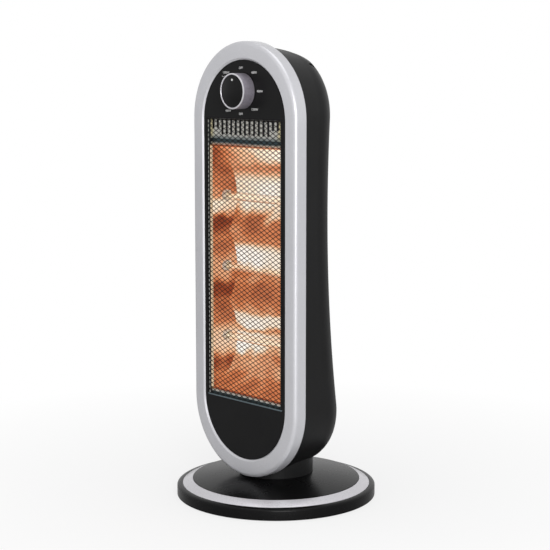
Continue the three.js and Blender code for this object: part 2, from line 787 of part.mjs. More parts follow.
// The switch sits behind the fascia; its origin is on the fascia's front, top to the front.
function rotarySwitch() {
  const seat = -fasciaThickness - seatGap;
  const body = raised(roundedRectangle(switchSize, switchSize, 3), seat - switchDepth, seat, 3);
  let whole = body.add(cylinder(switchBushRadius, seat - 1, switchBushReach, 20));
  for (let i = 0; i < switchBladeCount; i++) {
    const angle = i / switchBladeCount * 360;
    const reach = switchSize * 0.34;
    const foot = seat - switchDepth;
    const blade = block(spot(reach - 0.4, -3, foot - 7), spot(reach + 0.4, 3, foot + 1));
    whole = whole.add(blade.rotate([0, 0, angle]));
  }
  const bore = drill(switchShaftRadius + seatGap, seat - switchShaftDepth, switchBushReach + 1, 16);
  return layForward(whole.subtract(bore));
}

const knobWebTop = knobHeight - knobFaceDepth;
const knobWebBottom = knobWebTop - knobWall;

// The shaft has a flat that keys it to the knob.
function switchShaft() {
  const low = -fasciaThickness - switchShaftDepth;
  const high = knobWebBottom - seatGap;
  const rod = cylinder(switchShaftRadius, low, high, 16);
  const flat = block(spot(-switchShaftRadius, switchShaftRadius * 0.5, switchBushReach + 2),
    spot(switchShaftRadius, switchShaftRadius + 1, high + 1));
  return layForward(rod.subtract(flat));
}

function knob() {
  const bore = switchShaftRadius + seatGap;
  const hubLow = switchBushReach + seatGap;
  return layForward(turned([
    [0, knobWebBottom], [bore, knobWebBottom], [bore, hubLow], [knobHubRadius, hubLow],
    [knobHubRadius, knobWebBottom], [knobRadius - knobWall, knobWebBottom],
    [knobRadius - knobWall, knobLift], [knobRadius, knobLift],
    [knobRadius - 0.3, knobHeight],
    [knobRadius - knobRim, knobHeight], [knobRadius - knobRim, knobWebTop], [0, knobWebTop],
  ], knobFacets));
}

function knobFace() {
  const low = knobWebTop + seatGap;
  const radius = knobRadius - knobRim - seatGap;
  return layForward(turned([[0, low], [radius, low], [radius, low + knobFaceThickness - 0.3],
    [radius - 0.5, low + knobFaceThickness], [0, low + knobFaceThickness]], knobFacets));
}

// ------------------------------------------------------------ base

const domeLine = new THREE.QuadraticBezierCurve(
  point(trimInnerRadius, trimTop),
  point((trimInnerRadius + neckRadius) / 2, (trimTop + domeTop) / 2 + 2 * domeCrown),
  point(neckRadius, domeTop)).getPoints(3).map((at) => [at.x, at.y]);

const shoulderLine = Array.from({ length: 4 }, (_, i) => {
  const angle = i / 3 * Math.PI / 2;
  return [trimOuterRadius + shoulderWidth * Math.cos(angle),
    baseSideHeight + shoulderRise * Math.sin(angle)];
});

// The cover: one moulding with the trim groove, bearing seat and screw posts.
function baseCover() {
  const outer = turned([[0, skirtLift], [baseRadius, skirtLift], ...shoulderLine, ...domeLine,
    [0, domeTop]], wideFacets);
  const grooveDrop = trimThickness + seatGap;
  const underTrim = baseWall + grooveDrop;
  const bearingRim = washerRadius + baseWall;
  const cavity = turned([[0, skirtLift - 1], [baseRadius - baseWall, skirtLift - 1],
    [baseRadius - baseWall, baseSideHeight], [trimOuterRadius + baseWall, baseSideHeight],
    [trimOuterRadius, shoulderTop - underTrim],
    [trimInnerRadius, trimTop - underTrim], [bearingRim, domeUnderside], [0, domeUnderside],
  ], cavityFacets);
  const groove = turned([[trimInnerRadius, trimTop - grooveDrop], [trimOuterRadius, shoulderTop - grooveDrop],
    [trimOuterRadius, shoulderTop + 1], [trimInnerRadius, trimTop + 1]], wideFacets);
  let cover = outer.subtract(cavity);
  for (const [x, y] of baseScrewPlaces) {
    const post = cylinder(postRadius, deckHeight, domeTop, smallFacets).translate([x, y, 0]);
    const pilot = drill(screwRadius + seatGap, 0, floorPlateTop + baseScrewLength, 8);
    cover = cover.add(post.intersect(outer)).subtract(pilot.translate([x, y, 0]));
  }
  // Hole for the cord's bush, spot-faced inside so that the bush's flange lies flat
  const inlet = drill(inletRadius + seatGap, -baseRadius - 1, -baseRadius + 2 * baseWall)
    .add(drill(inletRadius + inletFlange + seatGap, -baseRadius + baseWall, -baseRadius + 2 * baseWall));
  return cover
    .subtract(groove)
    .subtract(drill(washerRadius + seatGap, domeTop - washerRecess, domeTop + 1, midFacets))
    .subtract(drill(spindleRadius + seatGap, domeUnderside - 1, domeTop + 1, midFacets))
    .subtract(layForward(inlet).translate([0, 0, inletHeight]));
}

function baseTrimRing() {
  const [inner, outer] = [trimInnerRadius + seatGap, trimOuterRadius - seatGap];
  return turned([[inner, trimTop - trimThickness], [outer, shoulderTop - trimThickness],
    [outer, shoulderTop], [inner, trimTop]], wideFacets);
}

// A disc foot with a barbed stem that snaps through the floor plate.
function rubberFoot() {
  const barb = footStemRadius + 1;
  return turned([[0, 0], [footRadius - 0.6, 0], [footRadius, 0.6], [footRadius, floorPlateLift - seatGap],
    [footStemRadius, floorPlateLift - seatGap], [footStemRadius, deckHeight], [barb, deckHeight],
    [footStemRadius * 0.6, deckHeight + footBarbHeight], [0, deckHeight + footBarbHeight]], smallFacets);
}

const baseScrewPlaces = [[postCircle, 0], [0, postCircle], [-postCircle, 0], [0, -postCircle]];

// Centres of the four feet, between the screw posts.
const footPlaces = [45, 135, 225, 315].map((angle) => {
  const turn = THREE.MathUtils.degToRad(angle);
  return [footCircle * Math.cos(turn), footCircle * Math.sin(turn)];
});

function basePlate() {
  let plate = cylinder(floorPlateRadius, floorPlateLift, floorPlateTop, cavityFacets);
  const pierce = (x, y, radius) => {
    const hole = drill(radius, floorPlateLift - 1, floorPlateTop + 1);
    plate = plate.subtract(hole.translate([x, y, 0]));
  };
  for (const [x, y] of footPlaces) pierce(x, y, footStemRadius + seatGap);
  for (const [x, y] of baseScrewPlaces) pierce(x, y, screwRadius + seatGap);
  pierce(tipSwitchPlace.x, tipSwitchPlace.y, plungerRadius + seatGap);
  // A notch in the edge clears the cord's bush
  const notch = drill(inletRadius + inletFlange + seatGap, -baseRadius,
    -baseRadius + inletLength + seatGap);
  return plate.subtract(layForward(notch).translate([0, 0, inletHeight]));
}

// A curved steel weight around the front of the floor plate.
function ballast() {
  const spread = THREE.MathUtils.degToRad(ballastSpread) / 2;
  const [start, end] = [-Math.PI / 2 - spread, -Math.PI / 2 + spread];
  const plan = new THREE.Shape();
  plan.absarc(0, 0, ballastOuterRadius, start, end, false);
  plan.absarc(0, 0, ballastInnerRadius, end, start, true);
  return raised(plan, deckHeight, deckHeight + ballastThickness, 20);
}

// The swing motor: a flat can with two fixing ears and a boss for its shaft.
function swingMotor() {
  const can = cylinder(motorRadius, 0, motorHeight);
  const boss = cylinder(motorBossRadius, 0, motorHeight + motorBossHeight, smallFacets);
  const ears = lyingStadium(motorEarReach + 5, 5);
  ears.holes.push(roundHole(motorEarReach, 0, screwRadius), roundHole(-motorEarReach, 0, screwRadius));
  const bore = drill(motorShaftRadius + seatGap, motorHeight - motorShaftDepth,
    motorHeight + motorBossHeight + 1, 12);
  return can.add(boss).add(raised(ears, 0, 1.5, 6)).subtract(bore);
}

// The shaft stands in the motor's boss and carries the crank on its top.
function motorShaft() {
  return cylinder(motorShaftRadius, deckHeight + motorHeight - motorShaftDepth + seatGap, crankTop, 12);
}

// A round-ended bar between two radii along +Y, drawn as a flat shape.
function barShape(startRadius, endRadius, length) {
  const lean = Math.asin((startRadius - endRadius) / length);
  const shape = new THREE.Shape();
  shape.absarc(0, 0, startRadius, Math.PI - lean, 2 * Math.PI + lean, false);
  shape.absarc(0, length, endRadius, lean, Math.PI - lean, false);
  return shape;
}

function crank() {
  const shape = barShape(crankHubRadius, crankPinRadius + armWall, crankRadius);
  shape.holes.push(roundHole(0, 0, motorShaftRadius + seatGap));
  const pin = cylinder(crankPinRadius, crankBottom, armTop, smallFacets);
  return raised(shape, crankBottom, crankTop).add(pin.translate([0, crankRadius, 0]));
}

// How far the pin strays from the middle of the slot when crank and head turn
// at one steady ratio; the slot is that much wider on each side.
function pinStray() {
  const steps = 48;
  let stray = 0;
  for (let i = 0; i <= steps; i++) {
    const crankTurn = THREE.MathUtils.degToRad(crankSweep * i / steps);
    const armTurn = THREE.MathUtils.degToRad(swingAngle * i / steps);
    const x = crankRadius * Math.sin(crankTurn);
    const y = crankCentre + crankRadius * Math.cos(crankTurn);
    stray = Math.max(stray, Math.abs(x * Math.cos(armTurn) - y * Math.sin(armTurn)));
  }
  return stray;
}

// The slotted arm clamped on the spindle.
function driveArm() {
  const slotHalf = crankPinRadius + pinStray() + seatGap;
  const slotEnd = crankCentre + crankRadius;
  const slotStart = crankCentre - crankRadius;
  const plan = barShape(spindleRadius + seatGap + 2 * armWall, slotHalf + armWall, slotEnd);
  plan.holes.push(roundHole(0, 0, spindleRadius + seatGap));
  const slot = new THREE.Path();
  slot.absarc(0, slotEnd, slotHalf, 0, Math.PI, false);
  slot.lineTo(-slotHalf, slotStart + slotHalf);
  slot.lineTo(slotHalf, slotStart + slotHalf);
  plan.holes.push(slot);
  return raised(plan, armBottom, armTop, 12);
}

function spindle() {
  const bore = spindleRadius - spindleWall;
  const top = spindleFlangeTop + spindleReach;
  return turned([[bore, armBottom - seatGap], [spindleRadius, armBottom - seatGap],
    [spindleRadius, spindleFlangeBottom], [spindleFlangeRadius, spindleFlangeBottom],
    [spindleFlangeRadius, spindleFlangeTop], [spindleRadius, spindleFlangeTop],
    [spindleRadius, top], [bore, top]]);
}

function retainingRing() {
  const inner = spindleRadius + seatGap;
  return tube(inner + retainerWidth, inner, retainerBottom, retainerTop);
}

function bearingWasher() {
  return tube(washerRadius, spindleRadius + 2 * seatGap, domeTop - washerThickness, domeTop);
}

// The neck: a round cup whose rim is cut to the underside of the head.
function neckCollar() {
  const high = headBottom + neckRadius;
  const cup = turned([[spindleRadius + seatGap, collarBottom], [neckRadius, collarBottom], [neckRadius, high],
    [neckRadius - collarWall, high], [neckRadius - collarWall, collarFloor],
    [spindleRadius + seatGap, collarFloor]], 36);
  const bezelBlock = upright(stadium(headWidth / 2 + seatGap, headHeight / 2 + seatGap),
    bezelFront - 1, shellFront + 1, 2 * quarterFacets).translate([0, 0, headMiddle]);
  return cup.subtract(bezelBlock).subtract(shellForm(seatGap, shellFront));
}

// ------------------------------------------------------------ tip-over switch, terminals, inlet

const plungerHeadLow = floorPlateTop + seatGap + plungerTravel;
const plungerHeadHigh = plungerHeadLow + plungerHeadHeight;
const tipSpringLow = plungerHeadHigh + seatGap;
const tipBoreTop = tipSpringLow + tipSpringLength + seatGap;

function tipSwitch() {
  const half = tipSwitchSize.clone().multiplyScalar(0.5);
  const box = block(spot(-half.x, -half.y, deckHeight),
    spot(half.x, half.y, deckHeight + tipSwitchSize.z));
  return box.subtract(drill(plungerHeadRadius + seatGap, deckHeight - 1, tipBoreTop, 16));
}

function tipPlunger() {
  return turned([[0, 0], [plungerRadius - 0.5, 0], [plungerRadius, 0.5], [plungerRadius, plungerHeadLow],
    [plungerHeadRadius, plungerHeadLow], [plungerHeadRadius, plungerHeadHigh], [0, plungerHeadHigh]], 16);
}

class Helix extends THREE.Curve {
  constructor(radius, low, high, turns) {
    super();
    Object.assign(this, { radius, low, high, turns });
  }

  getPoint(t, target = new THREE.Vector3()) {
    const angle = 2 * Math.PI * this.turns * t;
    return target.set(this.radius * Math.cos(angle), this.radius * Math.sin(angle),
      this.low + (this.high - this.low) * t);
  }
}

function tipSpring() {
  const wire = tipSpringWire / 2;
  const sides = 5;
  const section = new THREE.Shape(Array.from({ length: sides }, (_, i) => {
    const angle = i / sides * 2 * Math.PI;
    return point(wire * Math.cos(angle), wire * Math.sin(angle));
  }));
  const path = new Helix(plungerHeadRadius - seatGap - wire, tipSpringLow + wire,
    tipSpringLow + tipSpringLength - wire, tipSpringTurns);
  return solid(new THREE.ExtrudeGeometry(section,
    { steps: 8 * tipSpringTurns, extrudePath: path, bevelEnabled: false }));
}

function terminalBlock() {
  const half = terminalBlockSize.clone().multiplyScalar(0.5);
  let body = block(spot(-half.x, -half.y, 0), spot(half.x, half.y, terminalBlockSize.z));
  for (let i = 0; i < terminalWays; i++) {
    const x = (i - (terminalWays - 1) / 2) * terminalBlockSize.x / terminalWays;
    const well = drill(terminalWellRadius, terminalBlockSize.z - 4, terminalBlockSize.z + 1);
    body = body.subtract(well.translate([x, 0, 0]));
  }
  return body;
}

// A rubber bush in the skirt, for the supply cord.
function cordInlet() {
  const [outside, inside] = [-baseRadius + seatGap, -baseRadius + baseWall + seatGap];
  const rim = inletRadius + inletFlange;
  return layForward(turned([[inletBoreRadius, outside], [inletRadius, outside], [inletRadius, inside],
    [rim, inside], [rim, inside + inletFlange], [inletRadius, inside + inletFlange],
    [inletRadius, -baseRadius + inletLength], [inletBoreRadius, -baseRadius + inletLength]], smallFacets));
}

// ------------------------------------------------------------ finishes

const finish = (color, roughness, metalness) =>
  new THREE.MeshStandardMaterial({ color, roughness, metalness });

const silverPaint = finish(0xb9bac0, 0.35, 0.5);
const satinTrim = finish(0xc9cacd, 0.3, 0.6);
const glossBlack = finish(0x242424, 0.3, 0);
const mouldedBlack = finish(0x1e1e1e, 0.5, 0);
const guardSteel = finish(0x6f7377, 0.35, 0.9);
const brightSheet = finish(0xd8d8d8, 0.12, 1);
const zincSheet = finish(0x9b9ea1, 0.45, 0.9);
const quartz = finish(0xf3e0c8, 0.05, 0);
const tungsten = finish(0xffb060, 0.5, 0.6);
const steatite = finish(0xe9e4d8, 0.6, 0);
const blackRubber = finish(0x161616, 0.85, 0);
const blueSteel = finish(0x4a4d52, 0.5, 0.85);
const whiteNylon = finish(0xe8e6df, 0.5, 0);
const brightScrew = finish(0xb5b7ba, 0.3, 0.95);

// ------------------------------------------------------------ assembly

// Each piece has its own copy of its material, so that it can be changed alone.
function place(parent, name, shape, material, position = [0, 0, 0], rotation = [0, 0, 0]) {
  const mesh = new THREE.Mesh(geometryOf(shape), material.clone());
  mesh.name = name;
  mesh.position.set(...position);
  mesh.rotation.set(...rotation);
  parent.add(mesh);
}

function groupAt(parent, x, y, z) {
  const group = new THREE.Group();
  group.position.set(x, y, z);
  parent.add(group);
  return group;
}

const heater = new THREE.Group();
heater.name = 'halogen_heater';

// Base
const base = groupAt(heater, 0, 0, 0);
place(base, 'base_cover', baseCover(), glossBlack);
place(base, 'base_trim_ring', baseTrimRing(), satinTrim);
place(base, 'base_plate', basePlate(), zincSheet);
place(base, 'ballast', ballast(), blueSteel);
place(base, 'bearing_washer', bearingWasher(), whiteNylon);
place(base, 'swing_motor', swingMotor(), zincSheet, [0, crankCentre, deckHeight]);
place(base, 'terminal_block', terminalBlock(), whiteNylon,
  [terminalBlockPlace.x, terminalBlockPlace.y, deckHeight]);
place(base, 'cord_inlet', cordInlet(), blackRubber, [0, 0, inletHeight]);
footPlaces.forEach(([x, y], i) => {
  place(base, `rubber_foot_${i + 1}`, rubberFoot(), blackRubber, [x, y, 0]);
});
baseScrewPlaces.forEach(([x, y], i) => {
  place(base, `base_screw_${i + 1}`, screw(baseScrewLength), brightScrew,
    [x, y, floorPlateLift - seatGap], [Math.PI, 0, 0]);
});

// Tip-over switch
const tip = groupAt(base, tipSwitchPlace.x, tipSwitchPlace.y, 0);
place(tip, 'tip_switch', tipSwitch(), mouldedBlack);
place(tip, 'tip_plunger', tipPlunger(), whiteNylon);
place(tip, 'tip_spring', tipSpring(), brightScrew);

// Swing crank on the motor
const crankGroup = groupAt(base, 0, crankCentre, 0);
place(crankGroup, 'motor_shaft', motorShaft(), brightScrew);
place(crankGroup, 'swing_crank', crank(), whiteNylon);

// What turns with the head, below it
const head = groupAt(heater, 0, 0, 0);
place(head, 'drive_arm', driveArm(), blueSteel);
place(head, 'retaining_ring', retainingRing(), blueSteel);
place(head, 'spindle', spindle(), blueSteel);
place(head, 'neck_collar', neckCollar(), mouldedBlack);

// Housing
place(head, 'front_bezel', frontBezel(), silverPaint);
place(head, 'front_fascia', frontFascia(), glossBlack);
place(head, 'rear_shell', rearShell(), mouldedBlack);
shellScrewPlaces().forEach(([x, z], i) => {
  place(head, `shell_screw_${i + 1}`, screw(shellScrewLength), brightScrew,
    [x, shellFront + shellScrewSeat + seatGap, z], [-Math.PI / 2, 0, 0]);
});

// Guard and heating unit
place(head, 'guard_mesh', guardMesh(), guardSteel);
place(head, 'guard_frame', guardFrame(), brightSheet);
place(head, 'reflector', reflector(), brightSheet);
for (const [side, sign] of [['left', -1], ['right', 1]]) {
  const middle = sign * (endPlateInner + sheetThickness / 2);
  place(head, `reflector_end_${side}`, reflectorEnd(), brightSheet, [middle, 0, 0]);
}
place(head, 'heat_shield', heatShield(), zincSheet);
place(head, 'thermal_cutout', thermalCutout(), steatite,
  [cutoutOffset, shieldBack + seatGap, windowTop - cutoutDrop]);

const lampNames = ['top', 'middle', 'bottom'];
lampHeights.forEach((height, i) => {
  const lamp = groupAt(head, 0, lampDepth, height);
  place(lamp, `lamp_tube_${lampNames[i]}`, lampTube(), quartz);
  place(lamp, `filament_${lampNames[i]}`, filament(), tungsten);
  place(lamp, `lamp_cap_${lampNames[i]}_right`, lampCap(), steatite);
  place(lamp, `lamp_cap_${lampNames[i]}_left`, lampCap(), steatite, [0, 0, 0], [0, 0, Math.PI]);
});

// Rotary switch and knob
const dial = groupAt(head, 0, fasciaFront, knobMiddle);
place(dial, 'rotary_switch', rotarySwitch(), mouldedBlack);
place(dial, 'switch_shaft', switchShaft(), brightScrew);
place(dial, 'knob', knob(), satinTrim);
place(dial, 'knob_face', knobFace(), glossBlack);

export default heater;
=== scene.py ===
"""The looks of a floor-standing halogen heater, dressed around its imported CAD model.

New pieces are shaped in millimetres, in the frame of the CAD (front towards -Y, floor at
zero), and brought to metres when they are finished.
"""

import json
import math

import bmesh
import bpy
from mathutils import Matrix, Vector


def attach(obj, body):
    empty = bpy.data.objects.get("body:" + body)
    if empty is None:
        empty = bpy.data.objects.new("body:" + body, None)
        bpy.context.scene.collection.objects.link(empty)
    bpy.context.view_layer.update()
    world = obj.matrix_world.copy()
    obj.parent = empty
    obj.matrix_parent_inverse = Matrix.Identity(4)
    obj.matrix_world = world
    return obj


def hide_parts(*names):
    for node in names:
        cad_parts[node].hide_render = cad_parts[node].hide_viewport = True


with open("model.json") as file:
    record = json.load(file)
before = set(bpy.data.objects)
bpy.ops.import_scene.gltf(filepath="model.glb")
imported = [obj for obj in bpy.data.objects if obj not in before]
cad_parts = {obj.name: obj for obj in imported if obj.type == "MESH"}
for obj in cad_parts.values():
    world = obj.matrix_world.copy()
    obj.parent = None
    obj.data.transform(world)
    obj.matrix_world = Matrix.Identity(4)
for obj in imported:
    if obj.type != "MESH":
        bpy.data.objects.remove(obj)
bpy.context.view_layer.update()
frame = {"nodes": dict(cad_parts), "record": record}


def linked(name, data):
    """A new object in the scene."""
    made = bpy.data.objects.new(name, data)
    bpy.context.collection.objects.link(made)
    return made


# ------------------------------------------------------------ camera

LENS = 99.467
SENSOR = 36
TURN = math.radians(47.121)
RISE = math.radians(8.257)
DISTANCE = 1.9669
AIM_HEIGHT = 0.28977
AIM_SHIFT = -0.001321

aim = Vector((0, 0, AIM_HEIGHT)) + AIM_SHIFT * Vector((math.cos(TURN), math.sin(TURN), 0))
towards = Vector((math.sin(TURN) * math.cos(RISE), -math.cos(TURN) * math.cos(RISE), math.sin(RISE)))
camera_data = bpy.data.cameras.new("camera")
camera_data.lens = LENS
camera_data.sensor_width = SENSOR
camera = linked("camera", camera_data)
camera.location = aim + towards * DISTANCE
camera.rotation_euler = towards.to_track_quat("Z", "Y").to_euler()
bpy.context.scene.camera = camera
bpy.context.scene.view_settings.view_transform = "Standard"

# ------------------------------------------------------------ sizes, in millimetres

MM = 0.001
SEAT_GAP = 0.3
UPRIGHT = Matrix.Rotation(math.pi / 2, 4, "X")

BASE_RADIUS = 130
BASE_SIDE = 12.8
SKIRT_LIFT = 1
BASE_WALL = 2.5
SHOULDER_WIDTH = 7.1
SHOULDER_RISE = 3.3
TRIM_WIDTH = 13.7
TRIM_RISE = 6
TRIM_THICKNESS = 1.6
DOME_RISE = 8.7
DOME_CROWN = 0.6
DOME_WALL = 4.3
DOME_FLAT = 44.5
NECK_RADIUS = 48.6
SKIRT_ROUND = 0.4
INLET_RADIUS = 4.9
INLET_HEIGHT = 7

HEAD_WIDTH = 193.3
HEAD_HEIGHT = 556.3
HEAD_LIFT = 1.8
BEZEL_FRONT = -57.6
BEZEL_DEPTH = 18.2
BEZEL_BAND = 20.35
BEZEL_END_BAND = 22.9
BEZEL_WALL = 2.4
BEZEL_CORNER = 5
BEZEL_CHAMFER = 2

FASCIA_THICKNESS = 2.5
FASCIA_OVERLAP = 3
FASCIA_RISE = 1.1
WINDOW_SIDE_MARGIN = 4.6
WINDOW_END_MARGIN = 74
WINDOW_CORNER = 2.5
SWITCH_HOLE = 5.3

NET_BORDER = 1.5
NET_BORDER_DEPTH = 1.2
NET_CELL_WIDTH = 10.7
NET_CELL_HEIGHT = 5.9
NET_WIRE = 0.9
NET_SPARE = 6
NET_LAYERS = (0.35, 0.85)
LEDGE = 5.1
# Painted shadow along the guard rails' inner edge fades in between these distances from the middle
PAINTED_SHADOW_START = 69
PAINTED_SHADOW_END = 68.5
LOWER_BORDER_START = 2.2
LOWER_BORDER_END = 1.9

SHEET = 1
SLOT_PANEL = 31.6
REFLECTOR_LIP = 7
REFLECTOR_SLOPE = 23.5
REFLECTOR_SLOPE_DEPTH = 30.5
REFLECTOR_FLANGE = 4.5
JOIN_HEIGHT = 6
JOIN_FOOT = 1
JOIN_SLANT = 0.6
JOIN_DEPTH = 3.5
TROUGHS = 3
TROUGH_DEPTH = 14
SLOT_PITCH = 8.63
SLOT_WIDTH = 4
SLOT_LENGTH = 20.6
SHORT_SLOT = 13.5
SLOTS = 15
PANEL_SIDE = 58
PANEL_END = 63
FOOT_FADE = 4
LIP_START = 1.2
LIP_END = 1.8

LAMPS = ("top", "middle", "bottom")
LAMP_INSET = 26
LAMP_HALF = 67
TUBE_RADIUS = 5.5
TUBE_WALL = 1.2
TUBE_ROUND = 0.4
COIL_RADIUS = 1.5
COIL_WIRE = 0.32
COIL_PITCH = 2.2
COIL_END = 1

SHELL_INSET = 2.2
SHELL_DRAFT = 4.85
SHELL_WALL = 2.5
SHELL_CORNER_WIDTH = 52.3
SHELL_CORNER_DEPTH = 43.7
WAIST_HEIGHT = 343.7
WAIST_DEPTH = 71.4
BOTTOM_SWELL = 33.4
TOP_SWELL = 11.2
TOP_ROLL = 41.8
TOP_ROLL_HEIGHT = 27.3
VENT_WIDTH = 84
VENT_HEIGHT = 4.5
VENT_PITCH = 12
VENTS = 5
VENT_OFFSET = 152
VENT_START = -3
GRIP_WIDTH = 96
GRIP_HEIGHT = 26
GRIP_DEPTH = 22
GRIP_DROP = 66
SCREW_ANGLE = 50
SCREW_INSET = 11
SCREW_BORE = 1.9
SCREW_WELL = 3.5
SCREW_SEAT = 9
POST_RADIUS = 5.2
THROAT_RADIUS = 26
THROAT_HEIGHT = 26

KNOB_DROP = 61.7
KNOB_RADIUS = 22.2
KNOB_HEIGHT = 18.8
KNOB_LIFT = 0.6
KNOB_RIM = 1.9
KNOB_WALL = 2
KNOB_HUB = 6.5
KNOB_HUB_LIFT = 1.7
KNOB_BORE = 3.3
KNOB_RIBS = 90
KNOB_FACE_DEPTH = 1.5
KNOB_FACE = 1.1
DOT_RADIUS = 1.5
DOT_REACH = 14

trim_outer = BASE_RADIUS - SHOULDER_WIDTH
trim_inner = trim_outer - TRIM_WIDTH
shoulder_top = BASE_SIDE + SHOULDER_RISE
trim_top = shoulder_top + TRIM_RISE
dome_top = trim_top + DOME_RISE
head_bottom = dome_top + HEAD_LIFT
head_top = head_bottom + HEAD_HEIGHT
head_middle = (head_bottom + head_top) / 2
fascia_edge = BEZEL_FRONT + BEZEL_WALL + SEAT_GAP
fascia_front = fascia_edge - FASCIA_RISE
window_width = HEAD_WIDTH - 2 * (BEZEL_BAND + WINDOW_SIDE_MARGIN)
window_height = HEAD_HEIGHT - 2 * (BEZEL_END_BAND + WINDOW_END_MARGIN)
window_top = head_middle + window_height / 2
window_bottom = head_middle - window_height / 2
panel_fold = window_top - SLOT_PANEL
lip_fold = window_bottom + REFLECTOR_LIP
net_front = fascia_front + SEAT_GAP
reflector_front = fascia_front + FASCIA_THICKNESS + SEAT_GAP
reflector_half = window_width / 2 - 2 * SEAT_GAP - LEDGE
trough_edge = reflector_front + REFLECTOR_SLOPE_DEPTH
trough_start = lip_fold + REFLECTOR_SLOPE
trough_end = panel_fold - REFLECTOR_SLOPE
trough_pitch = (trough_end - trough_start) / TROUGHS
lamp_depth = reflector_front + LAMP_INSET
lamp_heights = [trough_start + (TROUGHS - i - 0.5) * trough_pitch for i in range(TROUGHS)]
shell_front = BEZEL_FRONT + BEZEL_DEPTH + SEAT_GAP
knob_middle = head_top - KNOB_DROP

# ------------------------------------------------------------ node helpers


def add(tree, kind, sockets=None, **settings):
    """A shader node with its settings, its plain values and its links."""
    made = tree.nodes.new("ShaderNode" + kind)
    for key, value in settings.items():
        setattr(made, key, value)
    for key, value in (sockets or {}).items():
        if isinstance(value, bpy.types.NodeSocket):
            tree.links.new(value, made.inputs[key])
        else:
            made.inputs[key].default_value = value
    return made


def maths(tree, operation, first, second=0.0, clamp=False):
    return add(tree, "Math", {0: first, 1: second}, operation=operation, use_clamp=clamp).outputs[0]


def product(tree, first, second, clamp=False):
    return maths(tree, "MULTIPLY", first, second, clamp)


def around(tree, value, amount):
    """How far a value is above or below one half, times an amount."""
    return product(tree, maths(tree, "SUBTRACT", value, 0.5), amount)


def between(tree, value, start, end, low=0.0, high=1.0, soft=False):
    """Goes from a low to a high while the value goes from a start to an end."""
    limits = {"Value": value, "From Min": start, "From Max": end, "To Min": low, "To Max": high}
    return add(tree, "MapRange", limits, interpolation_type="SMOOTHSTEP" if soft else "LINEAR").outputs[0]


def object_place(tree):
    return add(tree, "TexCoord").outputs["Object"]


def parts_of(tree, vector):
    return add(tree, "SeparateXYZ", {0: vector}).outputs


def sideways(tree):
    """One on faces that look left or right, nothing on the others."""
    facing = parts_of(tree, add(tree, "NewGeometry").outputs["True Normal"])
    return maths(tree, "GREATER_THAN", maths(tree, "ABSOLUTE", facing["X"]), 0.5)


def stretched(tree, place, scales):
    return add(tree, "VectorMath", {0: place, 1: scales}, operation="MULTIPLY").outputs[0]


def noise(tree, place, scale, detail, roughness=0.5):
    values = {"Vector": place, "Scale": scale, "Detail": detail, "Roughness": roughness}
    return add(tree, "TexNoise", values).outputs["Fac"]


def toned(tree, colour, tone):
    """A colour made lighter or darker."""
    return add(tree, "VectorMath", {0: colour, "Scale": tone}, operation="SCALE").outputs[0]


def tinted(tree, share, colour, tint):
    """A colour with a share of a tint in it."""
    return add(tree, "Mix", {"Factor": share, 6: colour, 7: (*tint, 1)}, data_type="RGBA").outputs[2]


def ramp(tree, value, stops):
    """A colour ramp from (place, colour) stops."""
    made = add(tree, "ValToRGB", {"Fac": value})
    line = made.color_ramp
    while len(line.elements) < len(stops):
        line.elements.new(0.5)
    for element, (place, colour) in zip(line.elements, stops):
        element.position = place
        element.color = (*colour, 1)
    return made.outputs["Color"]


def effect(name, inputs):
    """A shader node group with its sockets. It puts out a colour, a roughness and a height."""
    tree = bpy.data.node_groups.new(name, "ShaderNodeTree")
    for label, kind, value in inputs:
        socket = tree.interface.new_socket(label, in_out="INPUT", socket_type="NodeSocket" + kind)
        socket.default_value = value
    for label, kind in (("Colour", "Color"), ("Roughness", "Float"), ("Height", "Float")):
        tree.interface.new_socket(label, in_out="OUTPUT", socket_type="NodeSocket" + kind)
    return tree, tree.nodes.new("NodeGroupInput").outputs


def put_out(tree, colour, roughness, height):
    """Ends a node group with the three values that it puts out."""
    out = tree.nodes.new("NodeGroupOutput").inputs
    for label, value in (("Colour", colour), ("Roughness", roughness), ("Height", height)):
        tree.links.new(value, out[label])
    return tree


def use(tree, group, **values):
    """The outputs of a node group placed in a material with its own values."""
    sockets = {key.replace("_", " "): value for key, value in values.items()}
    return add(tree, "Group", sockets, node_tree=group).outputs


def material(name, **constants):
    """A Principled material with its plain values set on the shader itself."""
    made = bpy.data.materials.new(name)
    made.use_nodes = True
    shader = made.node_tree.nodes["Principled BSDF"]
    for key, value in constants.items():
        shader.inputs[key.replace("_", " ")].default_value = value
    return made, made.node_tree, shader


def feed(shader, **values):
    """Links values to a shader's sockets."""
    for key, value in values.items():
        shader.id_data.links.new(value, shader.inputs[key.replace("_", " ")])


def bumped(tree, shader, height, distance):
    feed(shader, Normal=add(tree, "Bump", {"Height": height, "Distance": distance}).outputs["Normal"])


def surfaced(tree, shader, look, colour, distance):
    """Gives the shader a colour, and an effect's roughness and height."""
    feed(shader, Base_Color=colour, Roughness=look["Roughness"])
    bumped(tree, shader, look["Height"], distance)


# ------------------------------------------------------------ shared effects


def moulding_effect():
    """Moulded plastic: fine spark texture, slow changes of tone and gloss, faint dust."""
    tree, given = effect("moulded_surface", [
        ("Colour", "Color", (0.02, 0.02, 0.02, 1)), ("Grain Scale", "Float", 1500.0),
        ("Roughness", "Float", 0.4), ("Gloss Change", "Float", 0.1), ("Dust", "Float", 0.02)])
    place = object_place(tree)
    broad = noise(tree, place, 17.0, 5.0, 0.6)
    fleck = noise(tree, place, 620.0, 2.0)
    dust = product(tree, between(tree, fleck, 0.62, 0.78), given["Dust"])
    colour = toned(tree, given["Colour"], between(tree, broad, 0.3, 0.7, 0.86, 1.14))
    rough = maths(tree, "ADD", given["Roughness"], around(tree, broad, given["Gloss Change"]))
    return put_out(tree, tinted(tree, dust, colour, (0.55, 0.54, 0.52)),
                   maths(tree, "ADD", rough, dust, True), noise(tree, place, given["Grain Scale"], 3.0))


